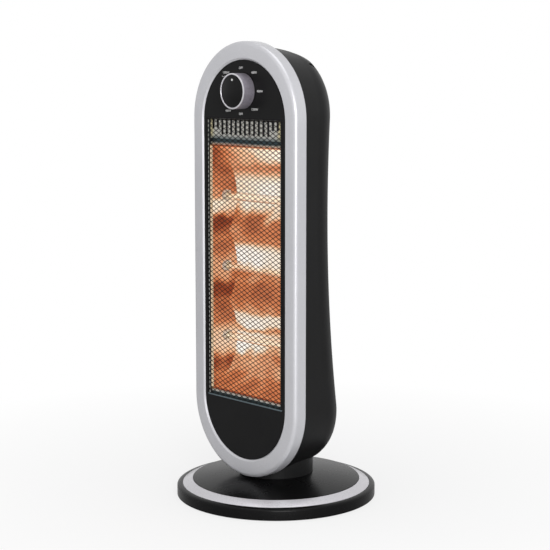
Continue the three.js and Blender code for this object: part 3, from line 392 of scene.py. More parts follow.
def flake_effect():
    """Metallic paint: fine flakes of differing brightness under a slightly uneven skin."""
    tree, given = effect("metallic_flake", [
        ("Colour", "Color", (0.6, 0.6, 0.62, 1)), ("Flake Scale", "Float", 2400.0),
        ("Sparkle", "Float", 0.2), ("Roughness", "Float", 0.3)])
    place = object_place(tree)
    cell = add(tree, "TexVoronoi", {"Vector": place, "Scale": given["Flake Scale"]}).outputs["Color"]
    shade = add(tree, "SeparateColor", {0: cell}).outputs[0]
    sparkle = around(tree, shade, given["Sparkle"])
    slow = around(tree, noise(tree, place, 11.0, 4.0), 0.12)
    tone = maths(tree, "ADD", maths(tree, "ADD", sparkle, slow), 1.0)
    rough = maths(tree, "ADD", given["Roughness"], product(tree, sparkle, 0.5), True)
    return put_out(tree, toned(tree, given["Colour"], tone), rough, noise(tree, place, 260.0, 2.0))


def rolled_effect():
    """Rolled or drawn metal: fine lines along one direction and a cloudy tone and gloss."""
    tree, given = effect("rolled_metal", [
        ("Colour", "Color", (0.5, 0.5, 0.5, 1)), ("Along", "Vector", (60.0, 60.0, 1400.0)),
        ("Roughness", "Float", 0.35), ("Cloud", "Float", 0.25)])
    place = object_place(tree)
    lines = noise(tree, stretched(tree, place, given["Along"]), 1.0, 3.0)
    uneven = around(tree, noise(tree, place, 45.0, 5.0, 0.65), given["Cloud"])
    tone = maths(tree, "ADD", maths(tree, "ADD", uneven, around(tree, lines, 0.25)), 1.0)
    rough = maths(tree, "SUBTRACT", given["Roughness"], uneven, True)
    return put_out(tree, toned(tree, given["Colour"], tone), rough, lines)


# ------------------------------------------------------------ the lamps' glow, painted on the sheet

# Each band of the glow painted on the sheet is a height in millimetres, its reach up and down, how
# much it adds or takes away, and how far it leans to the right
PAINTED_LAMP_GLOW = [(452, 22, 0.22, 1.2), (394, 34, 0.5, 0.25), (352, 18, -0.1, 0.0), (310, 22, 0.45, -0.35),
             (266, 18, -0.09, 0.0), (228, 15, 0.4, 0.1), (199, 18, 0.36, -0.5), (150, 16, -0.08, 0.3)]
PAINTED_END_GLOW = [(377, 20, 0.42, 0.0), (354, 17, -0.15, 0.0), (300, 24, 0.16, 0.0), (268, 15, -0.16, 0.0),
            (200, 30, 0.3, 0.0), (173, 16, -0.15, 0.0)]
PAINTED_GLOW_RAMP = [(0.0, (0.0, 0.0, 0.0)), (0.1, (0.09, 0.012, 0.004)), (0.24, (0.27, 0.045, 0.014)),
        (0.42, (0.66, 0.21, 0.08)), (0.6, (0.9, 0.5, 0.28)), (0.8, (0.96, 0.8, 0.62)),
        (1.0, (1.0, 0.95, 0.88))]
CLOUDS = (26.0, 26.0, 34.0)
DARKENING = 8.0
LIP_FADE = 4
FOLD_FADE_START = 1.5
FOLD_FADE_END = 6


def window_ends(tree, height):
    """One between the folds above and below the troughs, nothing outside them."""
    low = between(tree, height, lip_fold * MM, (lip_fold + LIP_FADE) * MM, soft=True)
    high = between(tree, height, (panel_fold - FOLD_FADE_START) * MM, (panel_fold - FOLD_FADE_END) * MM,
                   soft=True)
    return product(tree, low, high)


def painted_glow_bands(tree, least, bands, unevenness):
    """How strongly the glow painted on a sheet shines at a height: most behind the lamps, least near the
    folds.
    """
    place = object_place(tree)
    parts = parts_of(tree, place)
    wobble = noise(tree, stretched(tree, place, CLOUDS), 1.0, 2.0)
    height = maths(tree, "ADD", parts["Z"], around(tree, wobble, unevenness))
    total = maths(tree, "ADD", least, around(tree, wobble, 0.5))
    for middle, reach, strength, lean in bands:
        away = maths(tree, "ABSOLUTE", maths(tree, "SUBTRACT", height, middle * MM))
        near = between(tree, away, reach * MM, reach * MM * 0.3, 0.0, strength, True)
        share = maths(tree, "ADD", 1.0, product(tree, parts["X"], lean / (reflector_half * MM)))
        total = maths(tree, "ADD", total, product(tree, near, share))
    return product(tree, total, window_ends(tree, parts["Z"]), True)


# ------------------------------------------------------------ materials

moulded = moulding_effect()
flaked = flake_effect()
rolled = rolled_effect()

# How deep the textures are, in metres
SCRATCHES = 0.00001
UNEVEN_SKIN = 0.00002
RIPPLES = 0.0001


def plastic(name, colour, roughness, grain, depth, gloss_change, dust, specular=0.4):
    made, tree, shader = material(name, Specular_IOR_Level=specular)
    look = use(tree, moulded, Colour=(*colour, 1), Grain_Scale=grain, Roughness=roughness,
               Gloss_Change=gloss_change, Dust=dust)
    surfaced(tree, shader, look, look["Colour"], depth)
    return made


def paint(name, colour, roughness, flake, sparkle, metallic):
    made, tree, shader = material(name, Metallic=metallic, Coat_Weight=0.35, Coat_Roughness=0.1)
    look = use(tree, flaked, Colour=(*colour, 1), Flake_Scale=flake, Sparkle=sparkle, Roughness=roughness)
    surfaced(tree, shader, look, look["Colour"], UNEVEN_SKIN)
    return made


def rolled_look(tree, colour, roughness, along, cloud):
    return use(tree, rolled, Colour=(*colour, 1), Along=along, Roughness=roughness, Cloud=cloud)


def metal(name, colour, roughness, along, cloud):
    made, tree, shader = material(name, Metallic=1.0)
    look = rolled_look(tree, colour, roughness, along, cloud)
    surfaced(tree, shader, look, look["Colour"], SCRATCHES)
    return made


def painted_glow_sheet(name, least, bands, unevenness):
    """Sheet with the lamps' light painted on it as a glow by height. Above the troughs, its panel has
    tarnished ends, a painted dark reflection at its foot and in its sunk join, and painted shade on
    the edges in its slots. Below them, its lip is dull."""
    made, tree, shader = material(name, Metallic=0.7, Emission_Strength=1.0)
    look = rolled_look(tree, (0.72, 0.71, 0.66), 0.4, (30.0, 900.0, 900.0), 0.3)
    # The lamps' light painted onto the sheet by height as emission; the base colour darkens under it
    painted_glow_strength = painted_glow_bands(tree, least, bands, unevenness)
    glowing = product(tree, painted_glow_strength, DARKENING, True)
    colour = tinted(tree, glowing, look["Colour"], (0.05, 0.03, 0.02))
    place = parts_of(tree, object_place(tree))
    panel = maths(tree, "GREATER_THAN", place["Z"], panel_fold * MM)
    ends = between(tree, maths(tree, "ABSOLUTE", place["X"]), PANEL_SIDE * MM, PANEL_END * MM)
    # Painted dark reflection along the foot of the slotted panel
    slot_foot = window_top - SLOT_LENGTH
    foot = between(tree, place["Z"], slot_foot * MM, (slot_foot - FOOT_FADE) * MM, 0.0, 0.7)
    # Painted dark reflection and shade in the sunk join
    join = between(tree, place["Y"], (reflector_front + 0.2) * MM, (reflector_front + JOIN_DEPTH) * MM)
    lip = between(tree, place["Z"], (lip_fold - LIP_START) * MM, (lip_fold - LIP_END) * MM)
    # In order: tarnished ends, the painted dark reflections, painted shade on the slot edges, the dull lip
    for share, tint in ((product(tree, panel, ends), (0.8, 0.72, 0.45)),
                        (product(tree, panel, foot), (0.12, 0.18, 0.2)),
                        (product(tree, panel, join), (0.06, 0.09, 0.1)),
                        (product(tree, panel, sideways(tree)), (0.01, 0.01, 0.01)),
                        (lip, (0.04, 0.06, 0.065))):
        colour = tinted(tree, share, colour, tint)
    surfaced(tree, shader, look, colour, UNEVEN_SKIN)
    feed(shader, Emission_Color=ramp(tree, painted_glow_strength, PAINTED_GLOW_RAMP))
    return made


def rail_painted_light():
    """The guard frame's bright rails: painted shadow along their inner edge, and the lamps' glow painted
    on the faces where they turn into the window."""
    made, tree, shader = material("rail_painted_light", Metallic=0.5, Emission_Strength=1.0)
    look = rolled_look(tree, (0.85, 0.85, 0.82), 0.35, (1200.0, 60.0, 60.0), 0.2)
    place = parts_of(tree, object_place(tree))
    # Painted shadow along the rails' inner edge
    inner = between(tree, maths(tree, "ABSOLUTE", place["X"]), PAINTED_SHADOW_START * MM, PAINTED_SHADOW_END * MM)
    painted_shadow = tinted(tree, inner, look["Colour"], (0.015, 0.018, 0.02))
    # The lamps' glow painted on the rails' sideways faces inside the window
    painted_glow_mask = product(tree, sideways(tree), window_ends(tree, place["Z"]))
    uneven = product(tree, painted_glow_mask, between(tree, look["Height"], 0.0, 1.0, 0.6))
    glow = [(0.0, (0, 0, 0)), (0.6, (0.5, 0.3, 0.14)), (1.0, (0.85, 0.7, 0.5))]
    feed(shader, Base_Color=painted_shadow, Roughness=look["Roughness"], Emission_Color=ramp(tree, uneven, glow))
    return made


def quartz():
    """Slightly wavy glass with the filament's warm light in it."""
    made, tree, shader = material("quartz", Transmission_Weight=1.0, IOR=1.45, Emission_Strength=0.06)
    waves = noise(tree, object_place(tree), 90.0, 2.0)
    clear = between(tree, waves, 0.0, 1.0, 0.9)
    grey = add(tree, "CombineColor", {0: clear, 1: clear, 2: clear}).outputs[0]
    warmth = ramp(tree, waves, [(0.2, (1.0, 0.62, 0.3)), (0.8, (1.0, 0.85, 0.62))])
    feed(shader, Base_Color=grey, Roughness=product(tree, waves, 0.08), Emission_Color=warmth)
    bumped(tree, shader, waves, RIPPLES)
    return made


def hot_wire():
    """The glowing filament, a little hotter in places."""
    made, tree, shader = material("hot_wire", Metallic=1.0, Emission_Strength=0.8)
    along = noise(tree, object_place(tree), 60.0, 1.0)
    warmth = ramp(tree, along, [(0.2, (1.0, 0.6, 0.3)), (0.7, (1.0, 0.84, 0.6))])
    grey = ramp(tree, along, [(0.0, (0.3, 0.28, 0.26)), (1.0, (0.5, 0.47, 0.44))])
    feed(shader, Emission_Color=warmth, Base_Color=grey)
    return made


def guard_wire():
    """Dark oxidised wire, lighter and bluer along the lower border."""
    made, tree, shader = material("guard_steel", Metallic=1.0)
    look = rolled_look(tree, (0.013, 0.012, 0.012), 0.42, (500.0,) * 3, 0.5)
    height = parts_of(tree, object_place(tree))["Z"]
    lower_border_tint = between(tree, height, (window_bottom + LOWER_BORDER_START) * MM, (window_bottom + LOWER_BORDER_END) * MM)
    surfaced(tree, shader, look, tinted(tree, lower_border_tint, look["Colour"], (0.15, 0.19, 0.21)), SCRATCHES)
    return made


def knurled_trim():
    """Satin paint with fine ribs around the knob's axis."""
    made, tree, shader = material("knurled_trim", Metallic=0.55, Coat_Weight=0.2, Coat_Roughness=0.15)
    look = use(tree, flaked, Colour=(0.27, 0.25, 0.29, 1), Flake_Scale=1500.0, Sparkle=0.35,
               Roughness=0.36)
    centred = add(tree, "Mapping", {
        "Vector": object_place(tree), "Location": (0, -knob_middle * MM, 0),
        "Rotation": (-math.pi / 2, 0, 0)}, vector_type="POINT").outputs[0]
    angle = add(tree, "TexGradient", {"Vector": centred}, gradient_type="RADIAL").outputs["Fac"]
    ribs = maths(tree, "SINE", product(tree, angle, 2 * math.pi * KNOB_RIBS))
    feed(shader, Base_Color=look["Colour"], Roughness=look["Roughness"])
    bumped(tree, shader, ribs, RIPPLES)
    return made


finishes = {
    "knurled_trim": knurled_trim(), "guard_steel": guard_wire(), "rail_painted_light": rail_painted_light(),
    "quartz": quartz(), "hot_wire": hot_wire(),
}
for build, rows in (
    (paint, [("silver_paint", (0.49, 0.49, 0.515), 0.36, 2600.0, 0.14, 0.3),
             ("satin_trim", (0.54, 0.53, 0.56), 0.32, 2200.0, 0.2, 0.4)]),
    # The reflector and its end plates carry the lamps' glow painted on them
    (painted_glow_sheet, [("reflector_sheet", 0.46, PAINTED_LAMP_GLOW, 0.03), ("end_sheet", 0.36, PAINTED_END_GLOW, 0.02)]),
    (metal, [("zinc_sheet", (0.5, 0.51, 0.53), 0.42, (300.0,) * 3, 0.6),
             ("blue_steel", (0.11, 0.12, 0.14), 0.4, (200.0,) * 3, 0.5),
             ("bright_steel", (0.62, 0.62, 0.64), 0.25, (900.0, 900.0, 200.0), 0.3)]),
    (plastic, [("gloss_black", (0.004, 0.004, 0.0042), 0.27, 900.0, 0.00001, 0.08, 0.008, 0.09),
               ("fascia_black", (0.0075, 0.0075, 0.0078), 0.34, 1200.0, 0.00002, 0.1, 0.008, 0.08),
               ("moulded_black", (0.007, 0.007, 0.0073), 0.42, 1700.0, 0.00004, 0.12, 0.014, 0.12),
               ("iron", (0.07, 0.07, 0.075), 0.7, 500.0, 0.0003, 0.2, 0.1),
               ("steatite", (0.72, 0.68, 0.6), 0.55, 900.0, 0.00006, 0.1, 0.1),
               ("black_rubber", (0.018, 0.018, 0.018), 0.75, 1100.0, 0.00008, 0.15, 0.12),
               ("white_nylon", (0.7, 0.69, 0.65), 0.45, 1000.0, 0.00003, 0.1, 0.03),
               ("legend_white", (0.6, 0.6, 0.6), 0.5, 1500.0, 0.00001, 0.1, 0.0)]),
):
    for name, *values in rows:
        finishes[name] = build(name, *values)

# ------------------------------------------------------------ mesh helpers


def only(kind, geometry):
    return [part for part in geometry if isinstance(part, kind)]


def moved(bm, verts, vec):
    bmesh.ops.translate(bm, verts=verts, vec=vec)


def meshed(bm, name):
    """A shape's mesh. The shape itself is used up."""
    mesh = bpy.data.meshes.new(name)
    bm.to_mesh(mesh)
    bm.free()
    return mesh


def loose(bm, name):
    """An object for a shape that is still being cut, in millimetres."""
    bmesh.ops.recalc_face_normals(bm, faces=bm.faces)
    return linked(name, meshed(bm, name))


def final_mesh(piece):
    """The mesh of a piece with its modifiers, or of a label."""
    bpy.context.view_layer.update()
    return bpy.data.meshes.new_from_object(piece.evaluated_get(bpy.context.evaluated_depsgraph_get()))


def baked(piece):
    """Turns a piece's modifiers into its mesh."""
    mesh = final_mesh(piece)
    piece.modifiers.clear()
    piece.data = mesh


def combined(whole, tools, operation):
    """The whole after each tool has been cut away or joined on. The tools are used up."""
    for tool in tools:
        change = whole.modifiers.new("change", "BOOLEAN")
        change.operation = operation
        change.solver = "EXACT"
        change.object = tool
        baked(whole)
        bpy.data.objects.remove(tool)
    return whole


def thickened(piece, thickness):
    """Gives a sheet its thickness, behind its front."""
    solid = piece.modifiers.new("wall", "SOLIDIFY")
    solid.thickness = thickness
    solid.offset = -1


def finished(piece, finish, body, nodes=(), crease=38.0, edge=0.0, wall=0.0):
    """Brings a piece to metres, smooths it, softens its edges and puts it on its body."""
    mesh = piece.data
    mesh.transform(Matrix.Scale(MM, 4))
    mesh.shade_smooth()
    mesh.set_sharp_from_angle(angle=math.radians(crease))
    mesh.materials.clear()
    mesh.materials.append(finishes[finish])
    if wall:
        thickened(piece, wall * MM)
    if edge:
        soften = piece.modifiers.new("edges", "BEVEL")
        soften.width = edge * MM
        soften.segments = 2
        soften.limit_method = "ANGLE"
        soften.angle_limit = math.radians(crease)
        soften.harden_normals = True
    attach(piece, body)
    if nodes:
        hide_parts(*nodes)
    return piece


def turned(name, profile, steps, axis="Z", centre=(0, 0, 0)):
    """A piece spun from a line of (radius, height) points. Its height runs along Z, or
    towards the front for axis Y, or to the right for axis X."""
    bm = bmesh.new()
    verts = [bm.verts.new((radius, 0, height)) for radius, height in profile]
    edges = [bm.edges.new(pair) for pair in zip(verts, verts[1:])]
    bmesh.ops.spin(bm, geom=verts + edges, cent=(0, 0, 0), axis=(0, 0, 1), angle=2 * math.pi,
                   steps=steps, use_merge=True)
    bmesh.ops.remove_doubles(bm, verts=bm.verts, dist=0.002)
    if axis != "Z":
        about = "X" if axis == "Y" else "Y"
        bmesh.ops.rotate(bm, verts=bm.verts, matrix=Matrix.Rotation(math.pi / 2, 3, about))
    moved(bm, bm.verts, centre)
    return loose(bm, name)


def ring(bm, half_width, half_height, depth_at, middle=head_middle, quarter=32, sides=40):
    """An upright loop of edges with half-round ends. Each point's depth follows its height."""
    known = set(bm.edges)
    half_step = Matrix.Rotation(math.pi / (4 * quarter), 4, "Y")
    points = bmesh.ops.create_circle(bm, segments=4 * quarter, radius=half_width,
                                     matrix=half_step @ UPRIGHT)["verts"]
    upper = [v for v in points if v.co.z > 0]
    lower = [v for v in points if v.co.z <= 0]
    straight = half_height - half_width
    moved(bm, upper, (0, 0, middle + straight))
    moved(bm, lower, (0, 0, middle - straight))
    long_sides = [e for e in bm.edges if e not in known and (e.verts[0] in upper) != (e.verts[1] in upper)]
    bmesh.ops.subdivide_edges(bm, edges=long_sides, cuts=sides)
    edges = [e for e in bm.edges if e not in known]
    for v in {v for e in edges for v in e.verts}:
        v.co.y = depth_at(v.co.z)
    return edges


def bridged(bm, rings, closed):
    pairs = list(zip(rings, rings[1:])) + ([(rings[-1], rings[0])] if closed else [])
    for near, far in pairs:
        bmesh.ops.bridge_loops(bm, edges=near + far)


def bezel_outline(inset):
    """Half width and half height of the bezel's outline, the band being wider at the ends."""
    return HEAD_WIDTH / 2 - inset, HEAD_HEIGHT / 2 - inset * BEZEL_END_BAND / BEZEL_BAND


def window_outline(bm, half_width, half_height, depth, filled):
    """An upright loop with the window's small round corners."""
    steps = 32
    points = bmesh.ops.create_circle(bm, segments=steps, radius=WINDOW_CORNER, cap_ends=filled,
                                     matrix=Matrix.Rotation(math.pi / steps, 4, "Y") @ UPRIGHT)["verts"]
    for v in points:
        v.co.x += math.copysign(half_width - WINDOW_CORNER, v.co.x)
        v.co.z += math.copysign(half_height - WINDOW_CORNER, v.co.z) + head_middle
        v.co.y = depth


def pushed_back(bm, edges, distance):
    """Fills a loop and pushes its face back into a solid."""
    face = bmesh.ops.contextual_create(bm, geom=edges)["faces"]
    grown = bmesh.ops.extrude_face_region(bm, geom=face)["geom"]
    moved(bm, only(bmesh.types.BMVert, grown), (0, distance, 0))


def lying_slot(name, half_width, half_height, front, back, height):
    """A solid with the section of a slot lying down, from a front to a back plane."""
    bm = bmesh.new()
    edges = ring(bm, half_height, half_width, lambda z: front, 0, 8, 1)
    bmesh.ops.rotate(bm, verts=bm.verts, matrix=Matrix.Rotation(math.pi / 2, 3, "Y"))
    pushed_back(bm, edges, back - front)
    moved(bm, bm.verts, (0, 0, height))
    return loose(bm, name)


def dressed(node, finish, crease=35.0, edge=0.2):
    """A copy of a CAD node with its flats merged, smoothed and its edges softened."""
    source = frame["nodes"][node]
    bm = bmesh.new()
    bm.from_mesh(source.data)
    bmesh.ops.remove_doubles(bm, verts=bm.verts, dist=0.000002)
    bmesh.ops.dissolve_limit(bm, angle_limit=math.radians(0.5), verts=bm.verts, edges=bm.edges)
    bmesh.ops.scale(bm, verts=bm.verts, vec=(1 / MM, 1 / MM, 1 / MM))
    piece = linked(node + "_dressed", meshed(bm, node + "_dressed"))
    return finished(piece, finish, bodies[node], (node,), crease, edge)


bodies = {name: body for body, names in frame["record"]["behaviour"]["bodies"].items() for name in names}

# ------------------------------------------------------------ head: bezel and fascia


def front_bezel():
    """A channel with a soft outer corner, a flat face and a chamfered lip."""
    section = [(BEZEL_WALL, BEZEL_DEPTH), (0, BEZEL_DEPTH)]
    steps = 8
    for i in range(steps + 1):
        angle = i / steps * math.pi / 2
        section.append((BEZEL_CORNER * (1 - math.cos(angle)), BEZEL_CORNER * (1 - math.sin(angle))))
    section += [(BEZEL_BAND - BEZEL_CHAMFER, 0), (BEZEL_BAND, BEZEL_CHAMFER), (BEZEL_BAND, BEZEL_WALL),
                (BEZEL_WALL, BEZEL_WALL)]
    bm = bmesh.new()
    rings = [ring(bm, *bezel_outline(inset), lambda z, depth=depth: BEZEL_FRONT + depth)
             for inset, depth in section]
    bridged(bm, rings, True)
    return finished(loose(bm, "bezel"), "silver_paint", "head", ("front_bezel",), edge=0.3)


def front_fascia():
    """A black panel stepped forward inside the bezel, with the window and the switch hole."""
    bm = bmesh.new()
    half_width, half_height = bezel_outline(BEZEL_BAND)
    outer = ring(bm, half_width + FASCIA_OVERLAP, half_height + FASCIA_OVERLAP, lambda z: fascia_edge)
    step = ring(bm, half_width - SEAT_GAP, half_height - SEAT_GAP, lambda z: fascia_edge)
    face = ring(bm, half_width - SEAT_GAP, half_height - SEAT_GAP, lambda z: fascia_front)
    bridged(bm, [outer, step, face], False)
    known = set(bm.edges)
    window_outline(bm, window_width / 2, window_height / 2, fascia_front, False)
    bmesh.ops.create_circle(bm, segments=48, radius=SWITCH_HOLE,
                            matrix=Matrix.Translation((0, fascia_front, knob_middle)) @ UPRIGHT)
    inner = [e for e in bm.edges if e not in known]
    bmesh.ops.triangle_fill(bm, edges=face + inner, use_beauty=True, normal=(0, -1, 0))
    piece = loose(bm, "fascia")
    if piece.data.polygons[0].normal.y > 0:
        piece.data.flip_normals()
    return finished(piece, "fascia_black", "head", ("front_fascia",), edge=0.25,
                    wall=FASCIA_THICKNESS)


# ------------------------------------------------------------ head: lamp window


def guard_net():
    """Two crossing layers of straight wires, trimmed to the window inside a plain border."""
    half_width = window_width / 2 - SEAT_GAP
    half_height = window_height / 2 - SEAT_GAP
    lean = math.atan2(NET_CELL_HEIGHT, NET_CELL_WIDTH)
    length = 2 * half_width / math.cos(lean) + NET_SPARE
    count = math.ceil(half_height / NET_CELL_HEIGHT + half_width / NET_CELL_WIDTH)
    bm = bmesh.new()
    for side, depth in zip((1, -1), NET_LAYERS):
        turn = Matrix.Rotation(side * (math.pi / 2 - lean), 4, "Y")
        for i in range(-count, count + 1):
            place = Matrix.Translation((0, net_front + depth, head_middle + i * NET_CELL_HEIGHT))
            bmesh.ops.create_cone(bm, cap_ends=True, segments=6, radius1=NET_WIRE / 2, radius2=NET_WIRE / 2,
                                  depth=length, matrix=place @ turn)
    reach_x = half_width - NET_BORDER / 2
    reach_z = half_height - NET_BORDER / 2
    for x, z in ((1, 0), (-1, 0), (0, 1), (0, -1)):
        cut = bmesh.ops.bisect_plane(
            bm, geom=bm.verts[:] + bm.edges[:] + bm.faces[:], plane_no=(x, 0, z),
            plane_co=(x * reach_x, 0, head_middle + z * reach_z), clear_outer=True)["geom_cut"]
        bmesh.ops.holes_fill(bm, edges=only(bmesh.types.BMEdge, cut), sides=12)
    border = bmesh.new()
    window_outline(border, half_width, half_height, net_front, True)
    border.normal_update()
    bmesh.ops.inset_region(border, faces=border.faces[:], thickness=NET_BORDER, use_even_offset=True,
                           use_boundary=True)
    middle = max(border.faces, key=lambda f: f.calc_area())
    bmesh.ops.delete(border, geom=[middle], context="FACES")
    bmesh.ops.recalc_face_normals(border, faces=border.faces)
    bmesh.ops.solidify(border, geom=border.faces[:], thickness=NET_BORDER_DEPTH)
    low = min(v.co.y for v in border.verts)
    moved(border, border.verts, (0, net_front - low, 0))
    bm.from_mesh(meshed(border, "strip"))
    return finished(loose(bm, "net"), "guard_steel", "head", ("guard_mesh",))


def trough_line():
    """The reflector's line from its slotted panel down, as (depth, height) points."""
    sunk = reflector_front + JOIN_DEPTH
    line = [(reflector_front, panel_fold + JOIN_HEIGHT), (sunk, panel_fold + JOIN_HEIGHT - JOIN_SLANT),
            (sunk, panel_fold + JOIN_FOOT + JOIN_SLANT), (reflector_front, panel_fold + JOIN_FOOT),
            (reflector_front, panel_fold)]
    steps = 24
    for trough in range(TROUGHS):
        for i in range(steps + 1 if trough == TROUGHS - 1 else steps):
            across = 2 * i / steps - 1
            line.append((trough_edge + TROUGH_DEPTH * (1 - across * across),
                         trough_end - (trough + i / steps) * trough_pitch))
    line.append((reflector_front, lip_fold))
    line.append((reflector_front, window_bottom - REFLECTOR_FLANGE))
    return line


def slot_cutters():
    """A cutter for each slot of the reflector's upper panel."""
    front, back = reflector_front - 2, reflector_front + 3
    cutters = []
    for i in range(SLOTS):
        half = (SHORT_SLOT if min(i, SLOTS - 1 - i) < 2 else SLOT_LENGTH) / 2
        bm = bmesh.new()
        edges = ring(bm, SLOT_WIDTH / 2, half, lambda z: front, window_top - half, 4, 1)
        pushed_back(bm, edges, back - front)
        moved(bm, bm.verts, ((i - (SLOTS - 1) / 2) * SLOT_PITCH, 0, 0))
        cutters.append(loose(bm, "slot"))
    return cutters


def reflector():
    """One bent sheet: slotted panel, sunk join, slope, a curved trough per lamp, slope and lip."""
    low, high = panel_fold + JOIN_HEIGHT, window_top + REFLECTOR_FLANGE
    place = Matrix.Translation((0, reflector_front + SHEET / 2, (low + high) / 2))
    bm = bmesh.new()
    bmesh.ops.create_cube(bm, size=1,
                          matrix=place @ Matrix.Diagonal((2 * reflector_half, SHEET, high - low, 1)))
    piece = combined(loose(bm, "reflector_trough"), slot_cutters(), "DIFFERENCE")
    bm = bmesh.new()
    line = trough_line()
    ends = [bm.verts.new((x, *line[0])) for x in (-reflector_half, reflector_half)]
    edge = [bm.edges.new(ends)]
    for before, after in zip(line, line[1:]):
        grown = bmesh.ops.extrude_edge_only(bm, edges=edge)["geom"]
        new = only(bmesh.types.BMVert, grown)
        edge = [e for e in only(bmesh.types.BMEdge, grown) if all(v in new for v in e.verts)]
        moved(bm, new, (0, after[0] - before[0], after[1] - before[1]))
    sheet = loose(bm, "trough_sheet")
    if sheet.data.polygons[-1].normal.y > 0:
        sheet.data.flip_normals()
    thickened(sheet, SHEET)
    baked(sheet)
    bm = bmesh.new()
    bm.from_mesh(piece.data)
    bm.from_mesh(sheet.data)
    bm.to_mesh(piece.data)
    bm.free()
    bpy.data.objects.remove(sheet)
    return finished(piece, "reflector_sheet", "head", ("reflector",), crease=25.0)


def lamp(height, label):
    """A quartz tube with its coiled filament."""
    place = (0, lamp_depth, height)
    inner = TUBE_RADIUS - TUBE_WALL
    mouth = TUBE_RADIUS - TUBE_ROUND
    tube = turned("quartz_" + label, [
        (inner, -LAMP_HALF), (mouth, -LAMP_HALF), (TUBE_RADIUS, TUBE_ROUND - LAMP_HALF),
        (TUBE_RADIUS, LAMP_HALF - TUBE_ROUND), (mouth, LAMP_HALF), (inner, LAMP_HALF),
        (inner, -LAMP_HALF)], 40, "X", place)
    finished(tube, "quartz", "head", ("lamp_tube_" + label,))
    length = 2 * (LAMP_HALF - COIL_END)
    turns = length / COIL_PITCH
    steps = int(turns * 12)
    bm = bmesh.new()
    start = Matrix.Translation((COIL_END - LAMP_HALF, 0, COIL_RADIUS))
    wire = bmesh.ops.create_circle(bm, segments=5, radius=COIL_WIRE, matrix=start @ UPRIGHT)["verts"]
    edges = list({e for v in wire for e in v.link_edges})
    bmesh.ops.spin(bm, geom=wire + edges, cent=(0, 0, 0), axis=(1, 0, 0), angle=turns * 2 * math.pi,
                   steps=steps, dvec=(length / steps, 0, 0))
    bmesh.ops.holes_fill(bm, edges=bm.edges, sides=5)
    moved(bm, bm.verts, place)
    finished(loose(bm, "coil_" + label), "hot_wire", "head", ("filament_" + label,))


# ------------------------------------------------------------ head: rear shell


def shell_depth(height):
    """Depth of the shell behind its front edge: a waist, with fuller ends."""
    from_waist = height - (head_bottom + WAIST_HEIGHT)
    if from_waist < 0:
        return WAIST_DEPTH + BOTTOM_SWELL * (from_waist / WAIST_HEIGHT) ** 2
    swell = TOP_SWELL * (from_waist / (HEAD_HEIGHT - WAIST_HEIGHT)) ** 2
    roll = max(0, (height - (head_top - TOP_ROLL_HEIGHT)) / TOP_ROLL_HEIGHT)
    return WAIST_DEPTH + swell - TOP_ROLL * roll ** 2


def shell_form(name, offset, front=shell_front, corner_steps=14, draft_steps=8):
    """The shell's outer form, or the form inside it by an offset, closed all round."""
    half_width = HEAD_WIDTH / 2 + offset
    half_height = HEAD_HEIGHT / 2 + offset
    bm = bmesh.new()
    rings = []

    def put(inset, depth_at):
        rings.append(ring(bm, half_width - inset, half_height - inset, depth_at))

    put(SHELL_INSET, lambda z: front)
    if front < shell_front:
        put(SHELL_INSET, lambda z: shell_front)
    for i in range(1, draft_steps + 1):
        share = i / draft_steps
        put(SHELL_INSET + SHELL_DRAFT * share,
            lambda z, share=share: shell_front + (shell_depth(z) - SHELL_CORNER_DEPTH) * share)
    for i in range(1, corner_steps + 1):
        angle = i / corner_steps * math.pi / 2
        inset = SHELL_INSET + SHELL_DRAFT + (SHELL_CORNER_WIDTH + offset) * (1 - math.cos(angle))
        put(inset, lambda z, angle=angle: shell_front + shell_depth(z) - SHELL_CORNER_DEPTH
            + (SHELL_CORNER_DEPTH + offset) * math.sin(angle))
    back = half_width - SHELL_INSET - SHELL_DRAFT - SHELL_CORNER_WIDTH - offset
    for share in (0.66, 0.33, 0.001):
        put(half_width - back * share, lambda z: shell_front + shell_depth(z) + offset)
    bridged(bm, rings, False)
    bmesh.ops.contextual_create(bm, geom=rings[0])
    bmesh.ops.remove_doubles(bm, verts=bm.verts, dist=0.1)
    return loose(bm, name)


def screw_places():
    angle = math.radians(SCREW_ANGLE)
    reach = HEAD_WIDTH / 2 - SCREW_INSET
    x = reach * math.cos(angle)
    z = HEAD_HEIGHT / 2 - HEAD_WIDTH / 2 + reach * math.sin(angle)
    return [(side * x, head_middle + end * z) for side in (1, -1) for end in (1, -1)]


def rod(name, radius, front, back, x, z):
    """A plain rod from front to back, for joining on or cutting with."""
    bm = bmesh.new()
    place = Matrix.Translation((x, (front + back) / 2, z)) @ UPRIGHT
    bmesh.ops.create_cone(bm, cap_ends=True, segments=32, radius1=radius, radius2=radius,
                          depth=back - front, matrix=place)
    return loose(bm, name)


